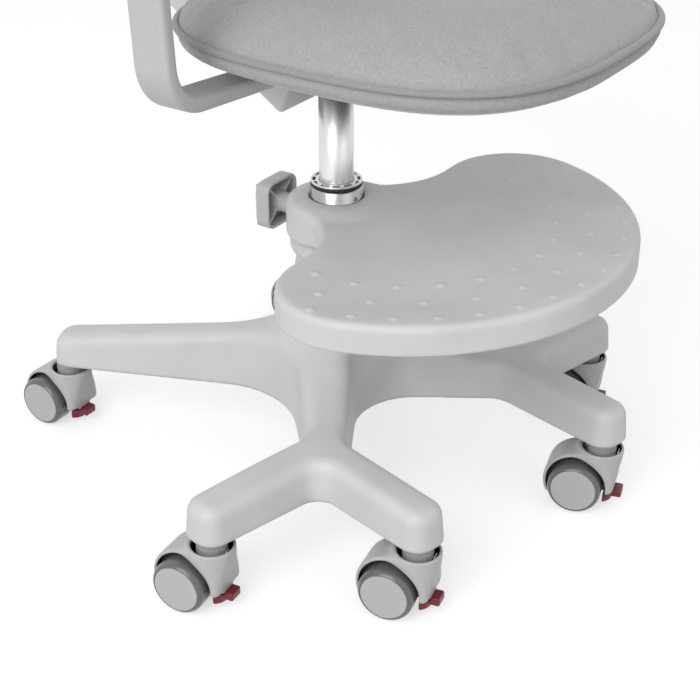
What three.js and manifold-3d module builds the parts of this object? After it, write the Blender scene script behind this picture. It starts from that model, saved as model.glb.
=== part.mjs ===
// A child's study chair on castors: a six-footed moulded base, a gas lift, a footrest that
// swings round the column and is held by a clamp knob, and a padded seat with back and arms.
// Millimetres, +Z up. The origin is on the floor under the column, and the base faces -Y.

import * as THREE from 'three';
import { mergeVertices } from 'three/addons/utils/BufferGeometryUtils.js';
import Module from 'manifold-3d';

const wasm = await Module();
wasm.setup();

// Shared clearances and how far a cutter runs past the face it cuts
const GAP = 0.3;
const OVERRUN = 4;

// Base: plan of the six arms, measured to the castor stems
const FORWARD_ARM_X = 124;
const FORWARD_ARM_Y = 245;
const SIDE_ARM_X = 252;
const SIDE_ARM_Y = 118;
const REAR_ARM_X = 171;
const REAR_ARM_Y = 232;
const ARM_WIDTH = 44;
const TIP_OVERHANG = 20;
const REAR_TIP_OVERHANG = 12;
const TIP_CORNER = 18;
const FORK_FILLET = 18;
const FRONT_BAY_EDGE = 33;
const FRONT_BAY_FILLET = 61;
const FRONT_BAY_CORNER = 130;
const SIDE_BAY_REACH = 47.8;
const SIDE_BAY_FILLET = 92;
const SIDE_BAY_CORNER = 125;
const BAY_CORNER_FILLET = 32;
const REAR_BAY_FILLET = 60;

// Base: heights and walls
const ARM_UNDERSIDE = 73;
const ARM_CROWN = 112;
const REAR_RISE_SHARE = 0.13;
const FRONT_RISE_SHARE = 0.03;
const DRAFT_SHARE = 0.087;
const FLARE_REACH = 150;
const REAR_FLARE_HEIGHT = 10;
const FRONT_FLARE_HEIGHT = 170;
const SHOULDER_DROP = 12;
const SHOULDER_INSET = 9;
const BASE_WALL = 5;
const BASE_RIB = 3;
const RIB_SETBACK = 3;
const HUB_TOP = 224;
const HUB_TOP_RADIUS = 43;
const HUB_FOOT_RADIUS = 62;
const SOCKET_WALL = 8;
const SOCKET_FLOOR = 4;
const STEM_BOSS_WALL = 5;

// Column and gas lift
const COLUMN_RADIUS = 25;
const COLUMN_BORE_RADIUS = 22;
const COLLAR_HEIGHT = 18;
const COLUMN_SCREW_DROP = 14;
const SCREW_RADIUS = 2;
const SCREW_STAND = 0.8;
const SCREW_SETBACK = 2;
const SCREW_TURN = THREE.MathUtils.degToRad(-86);
const LIFT_RADIUS = 16.5;
const LIFT_BOTTOM = 190;
const LIFT_BORE_TOP = 345;
const ROD_RADIUS = 5;
const ROD_FOOT_RADIUS = 12;
const ROD_FOOT = 4;
const ROD_TOP = 280;
const BUTTON_RADIUS = 4;
const BUTTON_STAND = 7.7;
const BUTTON_LENGTH = 20;
const BUTTON_POCKET = 22;
const BUSH_FLANGE = 5;
const BUSH_DEPTH = 60;
const BUSH_SLOTS = 12;
const BUSH_SLOT_WIDTH = 5;
const BUSH_SLOT_DEPTH = 2;
const BUSH_SLOT_RIM = 1.2;

// Footrest
const UPPER_TURN = THREE.MathUtils.degToRad(-75.8);
const PLATE_THICKNESS = 28;
const PLATE_CENTRE = 73;
const PLATE_RADIUS = 220;
const PLATE_END_RADIUS = 73;
const PLATE_BACK = 46;
const NECK_FILLET = 80;
const PLATE_WALL = 3.5;
const PLATE_EDGE = 5;
const PLATE_RIB = 2.5;
const PLATE_RIB_ANGLES = [-75, -50, -25, 0, 25, 50, 75];
const BOSS_RADIUS = 45;
const BOSS_HEIGHT = 56;
const BOSS_STAND = 3;
const SWIVEL_CLEARANCE = 2;
const BOSS_EDGE = 14;
const BOSS_TAPER = 3;
const BUSH_LIP = 6;
const COLLAR_CLEARANCE = 1.5;
const BUMP_RADIUS = 4.5;
const BUMP_RISE = 1.8;
const BUMP_ROWS = [
  { radius: 205, step: 9.93, count: 17 },
  { radius: 174, step: 14.8, count: 12 },
  { radius: 143, step: 14.85, count: 13 },
];
const SWIVEL_BUSH_WALL = 3.4;

// Clamp knob of the footrest
const KNOB_DROP = 21;
const KNOB_SIZE = 44;
const KNOB_CORNER = 9;
const KNOB_DEPTH = 17;
const KNOB_WALL = 3;
const KNOB_RIB = 2;
const KNOB_EDGE = 4;
const KNOB_RIM = 64;
const KNOB_HUB_RADIUS = 10;
const KNOB_HUB_STAND = 12;
const STUD_RADIUS = 4;
const INSERT_RADIUS = 7;
const INSERT_LENGTH = 10;
const INSERT_SETBACK = 3;
const CLAMP_PAD_RADIUS = 6;
const CLAMP_PAD_THICKNESS = 3.2;
const CLAMP_TRAVEL = 1.6;

// Castors
const WHEEL_RADIUS = 26;
const WHEEL_WIDTH = 22.6;
const WHEEL_DISC_RADIUS = 22;
const WHEEL_CROWN = 5;
const WHEEL_GAP = 0.6;
const CASTOR_TRAIL = 20;
const AXLE_RADIUS = 3;
const AXLE_REACH = 26;
const WEB_WIDTH = 15.4;
const HOOD_RADIUS = 21.5;
const HOOD_TOP = 63;
const HOOD_BOTTOM = 21;
const HOOD_TOE = 13.5;
const TOE_TOP = 54;
const WEB_BOTTOM = 17;
const HOOD_WALL = 2.6;
const CUP_DEPTH = 14;
const FENDER_GAP = 3.4;
const FENDER_WALL = 3.2;
const FENDER_WIDTH = 36;
const FENDER_BOTTOM = 11;
const STEM_RADIUS = 5;
const STEM_FLANGE_RADIUS = 14;
const STEM_FLANGE = 19;
const STEM_BOTTOM = 26;
const STEM_PLUG = 24;
const BRAKE_PIVOT_X = 8;
const BRAKE_PIVOT_Z = 21;
const BRAKE_PIN_RADIUS = 1.8;
const BRAKE_PIN_REACH = 6;
const BRAKE_TONGUE = 6.4;
const BRAKE_SWING = 1.2;
const BRAKE_BLOCK_RADIUS = 14;
const BRAKE_BLOCK_BACK = 6;
const BRAKE_BLOCK_TOP = 15.8;
const BRAKE_BLOCK_BOTTOM = 6;
const BRAKE_TAB_WIDTH = 15;
const BRAKE_TAB_FRONT = 23.5;
const BRAKE_TAB_BACK = 15;
const BRAKE_TAB_BOTTOM = 11.5;
const BRAKE_TAB_TOP = 20;
const BRAKE_ROUNDING = 1.6;

// Seat and the mechanism under it, with the front along +X before they are turned
const SEAT_FRONT = 287;
const SEAT_BACK = 108;
const SEAT_HALF_WIDTH = 190;
const CUSHION_BOTTOM = 452;
const CUSHION_THICKNESS = 58;
const CUSHION_FRONT_FALL = 12;
const PAN_THICKNESS = 15.7;
const PAN_LIP = 24;
const PAN_TAPER = 40;
const MECHANISM_FRONT = 110;
const MECHANISM_BACK = 70;
const MECHANISM_HALF_WIDTH = 55;
const MECHANISM_BOTTOM = 408;
const MECHANISM_CORNER = 16;
const MECHANISM_CHAMFER = 8;
const MECHANISM_WALL = 3;
const SOCKET_BOTTOM = 396;
const SOCKET_CAP = 413;
const SOCKET_ROOF = 2;
const LEVER_X = 24;
const LEVER_Z = 424;
const LEVER_RADIUS = 4;
const LEVER_PLAY = 0.8;
const LEVER_TONGUE = 6;
const PADDLE_START = 166;
const PADDLE_END = 228;
const PADDLE_WIDTH = 24;
const PADDLE_THICKNESS = 9;
const PADDLE_CORNER = 9;
const PADDLE_EDGE = 2.5;

// Armrests
const BRACKET_CENTRE = -10;
const BRACKET_WIDTH = 36;
const BRACKET_THICKNESS = 13;
const BRACKET_INNER_BOTTOM = 416;
const BRACKET_OUTER_BOTTOM = 430;
const BRACKET_REACH = 240;
const BRACKET_LEAN = 12;
const BRACKET_BEND = 34;
const BRACKET_EDGE = 3;
const ARM_PAD_BOTTOM = 655;
const ARM_PAD_THICKNESS = 24;
const ARM_PAD_LENGTH = 230;
const ARM_PAD_WIDTH = 54;
const ARM_PAD_CORNER = 24;
const ARM_PAD_EDGE = 7;
const ARM_PAD_SHIFT = 30;

// Back and its carrier
const CARRIER_CORNER_X = -35;
const CARRIER_CORNER_Z = 367;
const CARRIER_HALF_WIDTH = 40;
const CARRIER_DEPTH = 29;
const CARRIER_RISE = THREE.MathUtils.degToRad(33);
const CARRIER_NOSE = THREE.MathUtils.degToRad(69);
const CARRIER_ROUNDING = 4;
const CARRIER_BEND = 30;
const UPRIGHT_X = -203;
const UPRIGHT_THICKNESS = 24;
const UPRIGHT_HALF_WIDTH = 30;
const UPRIGHT_TOP = 705;
const BACK_HALF_WIDTH = 185;
const BACK_BOTTOM = 560;
const BACK_TOP = 905;
const BACK_SHELL_THICKNESS = 10;
const BACK_BEND = 34;
const BACK_CUSHION_THICKNESS = 42;
const BACK_CUSHION_INSET = 8;
const SLEEVE_WALL = 8;
const SLEEVE_BOTTOM = 600;
const SLEEVE_TOP = 690;
const CUSHION_SQUARENESS = 2.8;
const SOFT_POINTS = 32;
const ROUNDING_SHARE = 0.3;

// Heights that follow one another, from the hub up to the collar
const BOSS_BOTTOM = HUB_TOP + SWIVEL_CLEARANCE;
const BOSS_TOP = BOSS_BOTTOM + BOSS_HEIGHT;
const PLATE_TOP = BOSS_TOP - BOSS_STAND;
const KNOB_HEIGHT = BOSS_TOP - KNOB_DROP;
const COLUMN_TOP = BOSS_TOP + COLLAR_HEIGHT;

// Finishes: colour, roughness and metalness
const FINISH = {
  nylon: { color: 0xc9c9c9, roughness: 0.55, metalness: 0 },
  hood: { color: 0xcfcfcf, roughness: 0.45, metalness: 0 },
  disc: { color: 0x77787a, roughness: 0.35, metalness: 0 },
  chrome: { color: 0xc4c4c4, roughness: 0.18, metalness: 1 },
  steel: { color: 0x8f9092, roughness: 0.4, metalness: 1 },
  brass: { color: 0xb89a55, roughness: 0.35, metalness: 1 },
  black: { color: 0x222222, roughness: 0.6, metalness: 0 },
  red: { color: 0x7a1322, roughness: 0.4, metalness: 0 },
  fabric: { color: 0xa3a3a3, roughness: 0.95, metalness: 0 },
};

// Arcs turn in steps of about this chord, and by no more than the widest step
const ARC_CHORD = 26;
const WIDEST_STEP = THREE.MathUtils.degToRad(36);
const FULL_TURN = 2 * Math.PI;
const QUARTER_TURN = Math.PI / 2;

// Solids and booleans

function signedVolume(position, index) {
  const a = new THREE.Vector3();
  const b = new THREE.Vector3();
  const c = new THREE.Vector3();
  let volume = 0;
  for (let i = 0; i < index.length; i += 3) {
    a.fromBufferAttribute(position, index[i]);
    b.fromBufferAttribute(position, index[i + 1]);
    c.fromBufferAttribute(position, index[i + 2]);
    volume += a.dot(b.cross(c)) / 6;
  }
  return volume;
}

// A closed geometry becomes a solid once its seams are merged and empty triangles dropped
function solidOf(geometry) {
  const bare = geometry.clone();
  bare.deleteAttribute('normal');
  bare.deleteAttribute('uv');
  const merged = mergeVertices(bare);
  const position = merged.getAttribute('position');
  const triangles = [];
  for (let i = 0; i < merged.index.count; i += 3) {
    const [a, b, c] = [0, 1, 2].map((k) => merged.index.getX(i + k));
    if (a !== b && b !== c && c !== a) triangles.push(a, b, c);
  }
  if (signedVolume(position, triangles) < 0) triangles.reverse();
  return new wasm.Manifold(new wasm.Mesh({
    numProp: 3,
    vertProperties: new Float32Array(position.array),
    triVerts: new Uint32Array(triangles),
  }));
}

function geometryOf(solid) {
  const mesh = solid.getMesh();
  const geometry = new THREE.BufferGeometry();
  geometry.setAttribute('position', new THREE.BufferAttribute(mesh.vertProperties, 3));
  geometry.setIndex(new THREE.BufferAttribute(mesh.triVerts, 1));
  return geometry;
}

function union(solids) {
  return solids.reduce((whole, solid) => whole.add(solid));
}

function piece(name, solid, finish) {
  const mesh = new THREE.Mesh(geometryOf(solid), new THREE.MeshStandardMaterial(FINISH[finish]));
  mesh.name = name;
  return mesh;
}

// A solid of revolution about Z, from a profile of [radius, height] pairs
function turned(profile, segments) {
  const points = profile.map(([radius, height]) => new THREE.Vector2(radius, height));
  return solidOf(new THREE.LatheGeometry(points, segments).rotateX(QUARTER_TURN));
}

function rod(radius, bottom, top, segments) {
  return turned([[0, bottom], [radius, bottom], [radius, top], [0, top]], segments);
}

// A ring profile closes on itself, so its first pair comes again at the end
function ring(inner, outer, bottom, top, segments) {
  const profile = [[inner, bottom], [outer, bottom], [outer, top], [inner, top], [inner, bottom]];
  return turned(profile, segments);
}

function block(x0, x1, y0, y1, z0, z1) {
  const box = new THREE.BoxGeometry(x1 - x0, y1 - y0, z1 - z0);
  return solidOf(box.translate((x0 + x1) / 2, (y0 + y1) / 2, (z0 + z1) / 2));
}

function placed(solid, { turn = [0, 0, 0], move = [0, 0, 0] }) {
  const geometry = geometryOf(solid);
  geometry.rotateX(turn[0]).rotateY(turn[1]).rotateZ(turn[2]).translate(...move);
  return solidOf(geometry);
}

// The same piece on the other side of the X axis
function mirrored(solid) {
  return solidOf(geometryOf(solid).scale(1, -1, 1));
}

// Turns a solid that was made about Z so that it lies along Y, or along X
function alongY(solid, move) {
  return placed(solid, { turn: [-QUARTER_TURN, 0, 0], move });
}

function alongX(solid, move) {
  return placed(solid, { turn: [0, QUARTER_TURN, 0], move });
}

// Outlines: counter-clockwise points, each with the normal that points into the shape

function arcPoints(cx, cy, radius, from, to) {
  const convex = to > from;
  const steps = Math.ceil(Math.abs(to - from) / Math.min(WIDEST_STEP, ARC_CHORD / radius));
  const inward = convex ? -1 : 1;
  return Array.from({ length: steps + 1 }, (_, k) => {
    const angle = from + (to - from) * k / steps;
    const [dx, dy] = [Math.cos(angle), Math.sin(angle)];
    return { x: cx + radius * dx, y: cy + radius * dy, nx: inward * dx, ny: inward * dy };
  });
}

// A polygon of [x, y, radius] corners with each corner rounded by a tangent arc
function roundedOutline(corners) {
  return corners.flatMap(([x, y, radius], i) => {
    const [px, py] = corners.at(i - 1);
    const [qx, qy] = corners[(i + 1) % corners.length];
    const before = new THREE.Vector2(x - px, y - py).normalize();
    const after = new THREE.Vector2(qx - x, qy - y).normalize();
    const turn = Math.atan2(before.cross(after), before.dot(after));
    const side = Math.sign(turn);
    const reach = radius * Math.tan(Math.abs(turn) / 2);
    const cx = x - before.x * reach - side * before.y * radius;
    const cy = y - before.y * reach + side * before.x * radius;
    const from = Math.atan2(before.y, before.x) - side * QUARTER_TURN;
    return arcPoints(cx, cy, radius, from, from + turn);
  });
}

function roundedRectangle(x0, x1, y0, y1, radius) {
  return roundedOutline([[x0, y0, radius], [x1, y0, radius], [x1, y1, radius], [x0, y1, radius]]);
}

// Joins copies of one outline, each inset and lifted by its level, and closes both ends
function lofted(outline, levels) {
  const count = outline.length;
  const positions = levels.flatMap((level) => outline.flatMap((point) => {
    const { inset, z } = typeof level === 'function' ? level(point) : level;
    return [point.x + inset * point.nx, point.y + inset * point.ny, z];
  }));
  const index = [];
  for (let row = 0; row + 1 < levels.length; row += 1) {
    for (let i = 0; i < count; i += 1) {
      const a = row * count + i;
      const b = row * count + (i + 1) % count;
      index.push(a, b, b + count, a, b + count, a + count);
    }
  }
  index.push(...capTriangles(positions, 0, count, -1));
  index.push(...capTriangles(positions, (levels.length - 1) * count, count, 1));
  const geometry = new THREE.BufferGeometry();
  geometry.setAttribute('position', new THREE.Float32BufferAttribute(positions, 3));
  geometry.setIndex(index);
  return solidOf(geometry);
}

function capTriangles(positions, start, count, facing) {
  const contour = Array.from({ length: count }, (_, i) => (
    new THREE.Vector2(positions[3 * (start + i)], positions[3 * (start + i) + 1])
  ));
  return THREE.ShapeUtils.triangulateShape(contour, []).flatMap(([a, b, c]) => {
    const area = THREE.ShapeUtils.area([contour[a], contour[b], contour[c]]);
    return (area * facing > 0 ? [a, b, c] : [a, c, b]).map((k) => start + k);
  });
}

// Base

const ARM_TIPS = [
  { name: 'front_right', x: FORWARD_ARM_X, y: -FORWARD_ARM_Y, heading: 119.5 },
  { name: 'side_right', x: SIDE_ARM_X, y: -SIDE_ARM_Y, heading: 118 },
  { name: 'rear_right', x: REAR_ARM_X, y: REAR_ARM_Y, heading: 112 },
  { name: 'rear_left', x: -REAR_ARM_X, y: REAR_ARM_Y, heading: 105 },
  { name: 'side_left', x: -SIDE_ARM_X, y: -SIDE_ARM_Y, heading: 110.5 },
  { name: 'front_left', x: -FORWARD_ARM_X, y: -FORWARD_ARM_Y, heading: 115 },
];

// The right half of the plan, from the front bay round to the rear bay
function baseHalfCorners() {
  const half = ARM_WIDTH / 2;
  const tip = FORWARD_ARM_Y + TIP_OVERHANG;
  const sideTip = SIDE_ARM_X + TIP_OVERHANG;
  const rear = new THREE.Vector2(REAR_ARM_X, REAR_ARM_Y);
  const along = rear.clone().normalize();
  const across = new THREE.Vector2(along.y, -along.x);
  const rearEnd = along.clone().multiplyScalar(rear.length() + REAR_TIP_OVERHANG);
  const near = across.clone().multiplyScalar(half);
  const sideEdge = -SIDE_ARM_Y + half;
  const sideBay = near.clone().addScaledVector(along, SIDE_BAY_REACH);
  const rearBay = -near.x / along.x;
  return [
    [0, -FRONT_BAY_EDGE, FRONT_BAY_FILLET],
    [FORWARD_ARM_X - half, -FRONT_BAY_CORNER, BAY_CORNER_FILLET],
    [FORWARD_ARM_X - half, -tip, TIP_CORNER],
    [FORWARD_ARM_X + half, -tip, TIP_CORNER],
    [FORWARD_ARM_X + half, -SIDE_ARM_Y - half, FORK_FILLET],
    [sideTip, -SIDE_ARM_Y - half, TIP_CORNER],
    [sideTip, sideEdge, TIP_CORNER],
    [SIDE_BAY_CORNER, sideEdge, BAY_CORNER_FILLET],
    [sideBay.x, sideBay.y, SIDE_BAY_FILLET],
    [rearEnd.x + near.x, rearEnd.y + near.y, TIP_CORNER],
    [rearEnd.x - near.x, rearEnd.y - near.y, TIP_CORNER],
    [0, -near.y - rearBay * along.y, REAR_BAY_FILLET],
  ];
}

function baseOutline() {
  const right = baseHalfCorners();
  const left = right.slice(1, -1).reverse().map(([x, y, radius]) => [-x, y, radius]);
  return roundedOutline([...right, ...left]);
}

// Height of the crown of the arms and hub over a place in plan
function crownHeight({ x, y }) {
  const away = Math.hypot(x, y);
  const frontShare = THREE.MathUtils.clamp(-y / away, 0, 1);
  const flareHeight = THREE.MathUtils.lerp(REAR_FLARE_HEIGHT, FRONT_FLARE_HEIGHT, frontShare);
  const flare = Math.max(0, 1 - away / FLARE_REACH);
  const riseShare = THREE.MathUtils.lerp(FRONT_RISE_SHARE, REAR_RISE_SHARE, (1 - frontShare) ** 2);
  return ARM_CROWN + (FORWARD_ARM_Y - away) * riseShare + flareHeight * flare ** 2;
}

// The drafted wall and rounded shoulder of the base, made smaller all over by a wall
function baseBody(outline, wall, bottom, shoulderShares) {
  const shoulders = shoulderShares.map(([insetShare, dropShare]) => (point) => {
    const wallTop = crownHeight(point) - SHOULDER_DROP - ARM_UNDERSIDE;
    const inset = wall + wallTop * DRAFT_SHARE + SHOULDER_INSET * insetShare;
    return { inset, z: crownHeight(point) - SHOULDER_DROP * dropShare - wall };
  });
  return lofted(outline, [{ inset: wall, z: bottom }, ...shoulders]);
}

// The hub's flared cone, made smaller all over by a wall
function hub(wall, bottom, segments) {
  const height = HUB_TOP - ARM_CROWN;
  const flareShares = [[1, 0.2], [0.62, 0.32], [0.36, 0.48], [0.19, 0.68], [0.06, 0.9], [0, 1]];
  const profile = flareShares.map(([outShare, upShare]) => [
    HUB_TOP_RADIUS + (HUB_FOOT_RADIUS - HUB_TOP_RADIUS) * outShare - wall,
    ARM_CROWN + height * upShare - wall,
  ]);
  const foot = HUB_FOOT_RADIUS - wall;
  return turned([[0, bottom], [foot, bottom], ...profile, [0, HUB_TOP - wall]], segments);
}

function ribBetween(x0, y0, x1, y1) {
  const length = Math.hypot(x1 - x0, y1 - y0);
  const bar = block(0, length, -BASE_RIB / 2, BASE_RIB / 2, ARM_UNDERSIDE + RIB_SETBACK, HUB_TOP);
  return placed(bar, { turn: [0, 0, Math.atan2(y1 - y0, x1 - x0)], move: [x0, y0, 0] });
}

function baseRibs() {
  return [-1, 1].flatMap((side) => [
    ribBetween(0, 0, side * FORWARD_ARM_X, -SIDE_ARM_Y),
    ribBetween(side * FORWARD_ARM_X, -SIDE_ARM_Y, side * FORWARD_ARM_X, -FORWARD_ARM_Y),
    ribBetween(side * FORWARD_ARM_X, -SIDE_ARM_Y, side * SIDE_ARM_X, -SIDE_ARM_Y),
    ribBetween(0, 0, side * REAR_ARM_X, REAR_ARM_Y),
  ]);
}

function starBase() {
  const outline = baseOutline();
  const outer = baseBody(outline, 0, ARM_UNDERSIDE, [[0, 1], [0.35, 0.35], [1, 0]]);
  const cavity = baseBody(outline, BASE_WALL, ARM_UNDERSIDE - OVERRUN, [[0, 1], [1, 0]]);
  const stemBore = STEM_RADIUS + GAP;
  const stemBosses = ARM_TIPS.map(({ x, y }) => placed(
    rod(stemBore + STEM_BOSS_WALL, ARM_UNDERSIDE, HUB_TOP, 8), { move: [x, y, 0] },
  ));
  const bore = COLUMN_RADIUS + GAP;
  const socket = rod(bore + SOCKET_WALL, ARM_UNDERSIDE, HUB_TOP, 24);
  const whole = outer.add(hub(0, ARM_CROWN, 28));
  const inside = union([...baseRibs(), ...stemBosses, socket]).intersect(whole);
  const stemHoles = ARM_TIPS.map(({ x, y }) => placed(
    rod(stemBore, ARM_UNDERSIDE - OVERRUN, ARM_UNDERSIDE + STEM_PLUG + GAP, 10), { move: [x, y, 0] },
  ));
  const columnHole = rod(bore, ARM_UNDERSIDE + SOCKET_FLOOR, HUB_TOP + OVERRUN, 24);
  const hubCavity = hub(BASE_WALL, ARM_UNDERSIDE - OVERRUN, 14);
  const shell = whole.subtract(cavity).subtract(hubCavity);
  return shell.add(inside).subtract(union([...stemHoles, columnHole]));
}

// Column and gas lift

const COLUMN_FLOOR = ARM_UNDERSIDE + SOCKET_FLOOR + GAP;
const BUSH_BOTTOM = COLUMN_TOP - BUSH_FLANGE;
const LIFT_CAP = SOCKET_CAP - GAP;

function columnTube() {
  const floor = COLUMN_FLOOR + SOCKET_FLOOR;
  const tube = turned([
    [ROD_RADIUS + GAP, COLUMN_FLOOR], [COLUMN_RADIUS, COLUMN_FLOOR],
    [COLUMN_RADIUS, BUSH_BOTTOM - GAP], [COLUMN_BORE_RADIUS, BUSH_BOTTOM - GAP],
    [COLUMN_BORE_RADIUS, floor], [ROD_RADIUS + GAP, floor], [ROD_RADIUS + GAP, COLUMN_FLOOR],
  ], 24);
  return tube.subtract(columnScrew(SCREW_RADIUS + GAP));
}

function columnBush() {
  const sleeve = COLUMN_BORE_RADIUS - GAP;
  const inner = LIFT_RADIUS + GAP;
  const bush = turned([
    [inner, BUSH_BOTTOM - BUSH_DEPTH], [sleeve, BUSH_BOTTOM - BUSH_DEPTH], [sleeve, BUSH_BOTTOM],
    [COLUMN_RADIUS, BUSH_BOTTOM], [COLUMN_RADIUS, COLUMN_TOP], [inner, COLUMN_TOP],
    [inner, BUSH_BOTTOM - BUSH_DEPTH],
  ], 24);
  const slotInner = (inner + COLUMN_RADIUS) / 2;
  const slotBottom = COLUMN_TOP - BUSH_SLOT_DEPTH;
  const half = BUSH_SLOT_WIDTH / 2;
  const slots = Array.from({ length: BUSH_SLOTS }, (_, k) => placed(
    block(slotInner, COLUMN_RADIUS - BUSH_SLOT_RIM, -half, half, slotBottom, COLUMN_TOP + OVERRUN),
    { turn: [0, 0, k * FULL_TURN / BUSH_SLOTS] },
  ));
  return bush.subtract(union(slots)).subtract(columnScrew(SCREW_RADIUS + GAP));
}

// The screw runs through the column wall into the sleeve of the bush
function columnScrew(radius) {
  const screw = alongX(rod(radius, LIFT_RADIUS + SCREW_SETBACK, COLUMN_RADIUS + SCREW_STAND, 8), [0, 0, 0]);
  return placed(screw, { turn: [0, 0, SCREW_TURN], move: [0, 0, COLUMN_TOP - COLUMN_SCREW_DROP] });
}

function liftCylinder() {
  const bore = ROD_RADIUS + GAP;
  const cylinder = rod(LIFT_RADIUS, LIFT_BOTTOM, LIFT_CAP, 24);
  const rodBore = rod(bore, LIFT_BOTTOM - OVERRUN, LIFT_BORE_TOP, 16);
  const pocket = rod(BUTTON_RADIUS + GAP, LIFT_CAP - BUTTON_POCKET, LIFT_CAP + OVERRUN, 16);
  return cylinder.subtract(rodBore).subtract(pocket);
}

function liftButton() {
  const top = LIFT_CAP + BUTTON_STAND;
  return rod(BUTTON_RADIUS, top - BUTTON_LENGTH, top, 16);
}

// The rod stands through the column floor and carries the cylinder
function liftRod() {
  const foot = COLUMN_FLOOR + SOCKET_FLOOR + GAP;
  return turned([
    [0, COLUMN_FLOOR], [ROD_RADIUS, COLUMN_FLOOR], [ROD_RADIUS, foot], [ROD_FOOT_RADIUS, foot],
    [ROD_FOOT_RADIUS, foot + ROD_FOOT], [ROD_RADIUS, foot + ROD_FOOT], [ROD_RADIUS, ROD_TOP], [0, ROD_TOP],
  ], 10);
}

// Footrest, with its front along +X before it is turned

function footrestOutline() {
  const reach = PLATE_RADIUS - PLATE_END_RADIUS;
  const span = Math.acos((PLATE_BACK + PLATE_END_RADIUS - PLATE_CENTRE) / reach);
  const endX = PLATE_CENTRE + reach * Math.cos(span);
  const endY = reach * Math.sin(span);
  const neckX = PLATE_BACK - NECK_FILLET;
  const neckY = Math.sqrt((BOSS_RADIUS + NECK_FILLET) ** 2 - neckX ** 2);
  const neckEnd = Math.atan2(neckY, neckX);
  return [
    ...arcPoints(PLATE_CENTRE, 0, PLATE_RADIUS, -span, span),
    ...arcPoints(endX, endY, PLATE_END_RADIUS, span, Math.PI),
    ...arcPoints(neckX, neckY, NECK_FILLET, 0, neckEnd - Math.PI),
    ...arcPoints(0, 0, BOSS_RADIUS, neckEnd, FULL_TURN - neckEnd),
    ...arcPoints(neckX, -neckY, NECK_FILLET, Math.PI - neckEnd, 0),
    ...arcPoints(endX, -endY, PLATE_END_RADIUS, Math.PI, FULL_TURN - span),
  ];
}

function plateBumps() {
  const sphere = (BUMP_RADIUS ** 2 + BUMP_RISE ** 2) / (2 * BUMP_RISE);
  const sink = sphere - BUMP_RISE;
  const skin = PLATE_TOP - PLATE_WALL / 2;
  const domeShares = [0, 0.6];
  const profile = domeShares.map((share) => (
    [Math.sqrt(sphere ** 2 - (sink + BUMP_RISE * share) ** 2), PLATE_TOP + BUMP_RISE * share]
  ));
  const dome = turned([[0, skin], [BUMP_RADIUS, skin], ...profile, [0, PLATE_TOP + BUMP_RISE]], 6);
  return BUMP_ROWS.flatMap(({ radius, step, count }) => (
    Array.from({ length: count }, (_, k) => {
      const angle = THREE.MathUtils.degToRad((k - (count - 1) / 2) * step);
      const [x, y] = [PLATE_CENTRE + radius * Math.cos(angle), radius * Math.sin(angle)];
      return placed(dome, { move: [x, y, 0] });
    })
  ));
}

function plateRibs() {
  const bottom = PLATE_TOP - PLATE_THICKNESS + RIB_SETBACK;
  const half = PLATE_RIB / 2;
  return PLATE_RIB_ANGLES.map((degrees) => placed(
    block(0, PLATE_CENTRE + PLATE_RADIUS, -half, half, bottom, PLATE_TOP - PLATE_WALL / 2),
    { turn: [0, 0, THREE.MathUtils.degToRad(degrees)] },
  ));
}

function footrestPlate() {
  const outline = footrestOutline();
  const bottom = PLATE_TOP - PLATE_THICKNESS;
  const edgeShares = [[0, 1], [0.3, 0.3], [1, 0]];
  const edge = edgeShares.map(([insetShare, dropShare]) => (
    { inset: PLATE_EDGE * insetShare, z: PLATE_TOP - PLATE_EDGE * dropShare }
  ));
  const outer = lofted(outline, [{ inset: 0, z: bottom }, ...edge]);
  const cavity = lofted(outline, [
    { inset: PLATE_WALL, z: bottom - OVERRUN }, { inset: PLATE_WALL, z: PLATE_TOP - PLATE_WALL },
  ]);
  const boss = turned([
    [0, BOSS_BOTTOM], [BOSS_RADIUS - BOSS_TAPER, BOSS_BOTTOM], [BOSS_RADIUS, bottom],
    [BOSS_RADIUS, BOSS_TOP - BOSS_EDGE], [BOSS_RADIUS - BOSS_EDGE * ROUNDING_SHARE, BOSS_TOP - BOSS_EDGE * ROUNDING_SHARE],
    [BOSS_RADIUS - BOSS_EDGE, BOSS_TOP], [0, BOSS_TOP],
  ], 32);
  const ribs = union(plateRibs()).intersect(outer);
  const bushBore = COLUMN_RADIUS + GAP + SWIVEL_BUSH_WALL + GAP;
  const lowerBore = rod(bushBore, BOSS_BOTTOM - OVERRUN, BOSS_TOP - BUSH_LIP, 24);
  const upperBore = rod(COLUMN_RADIUS + COLLAR_CLEARANCE, BOSS_BOTTOM, BOSS_TOP + OVERRUN, 24);
  const clampBores = union([
    clampRod(STUD_RADIUS + GAP, COLUMN_RADIUS, BOSS_RADIUS + OVERRUN),
    clampRod(INSERT_RADIUS + GAP, INSERT_START - GAP, BOSS_RADIUS + OVERRUN),
    clampRod(CLAMP_PAD_RADIUS + GAP, COLUMN_RADIUS, PAD_BACK + CLAMP_TRAVEL + GAP),
  ]);
  const shell = outer.subtract(cavity).add(ribs).add(boss).add(union(plateBumps()));
  return shell.subtract(lowerBore).subtract(upperBore).subtract(clampBores);
}

function footrestBush() {
  const inner = COLUMN_RADIUS + GAP;
  const top = BOSS_TOP - BUSH_LIP - GAP;
  const bush = ring(inner, inner + SWIVEL_BUSH_WALL, BOSS_BOTTOM, top, 24);
  return bush.subtract(clampRod(CLAMP_PAD_RADIUS + GAP, COLUMN_RADIUS - OVERRUN, BOSS_RADIUS));
}

// Clamp: knob, stud, insert and pad lie on one line that points back from the column

const PAD_FRONT = COLUMN_RADIUS + GAP;
const PAD_BACK = PAD_FRONT + CLAMP_PAD_THICKNESS;
const INSERT_START = PAD_BACK + CLAMP_TRAVEL + INSERT_SETBACK;

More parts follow.
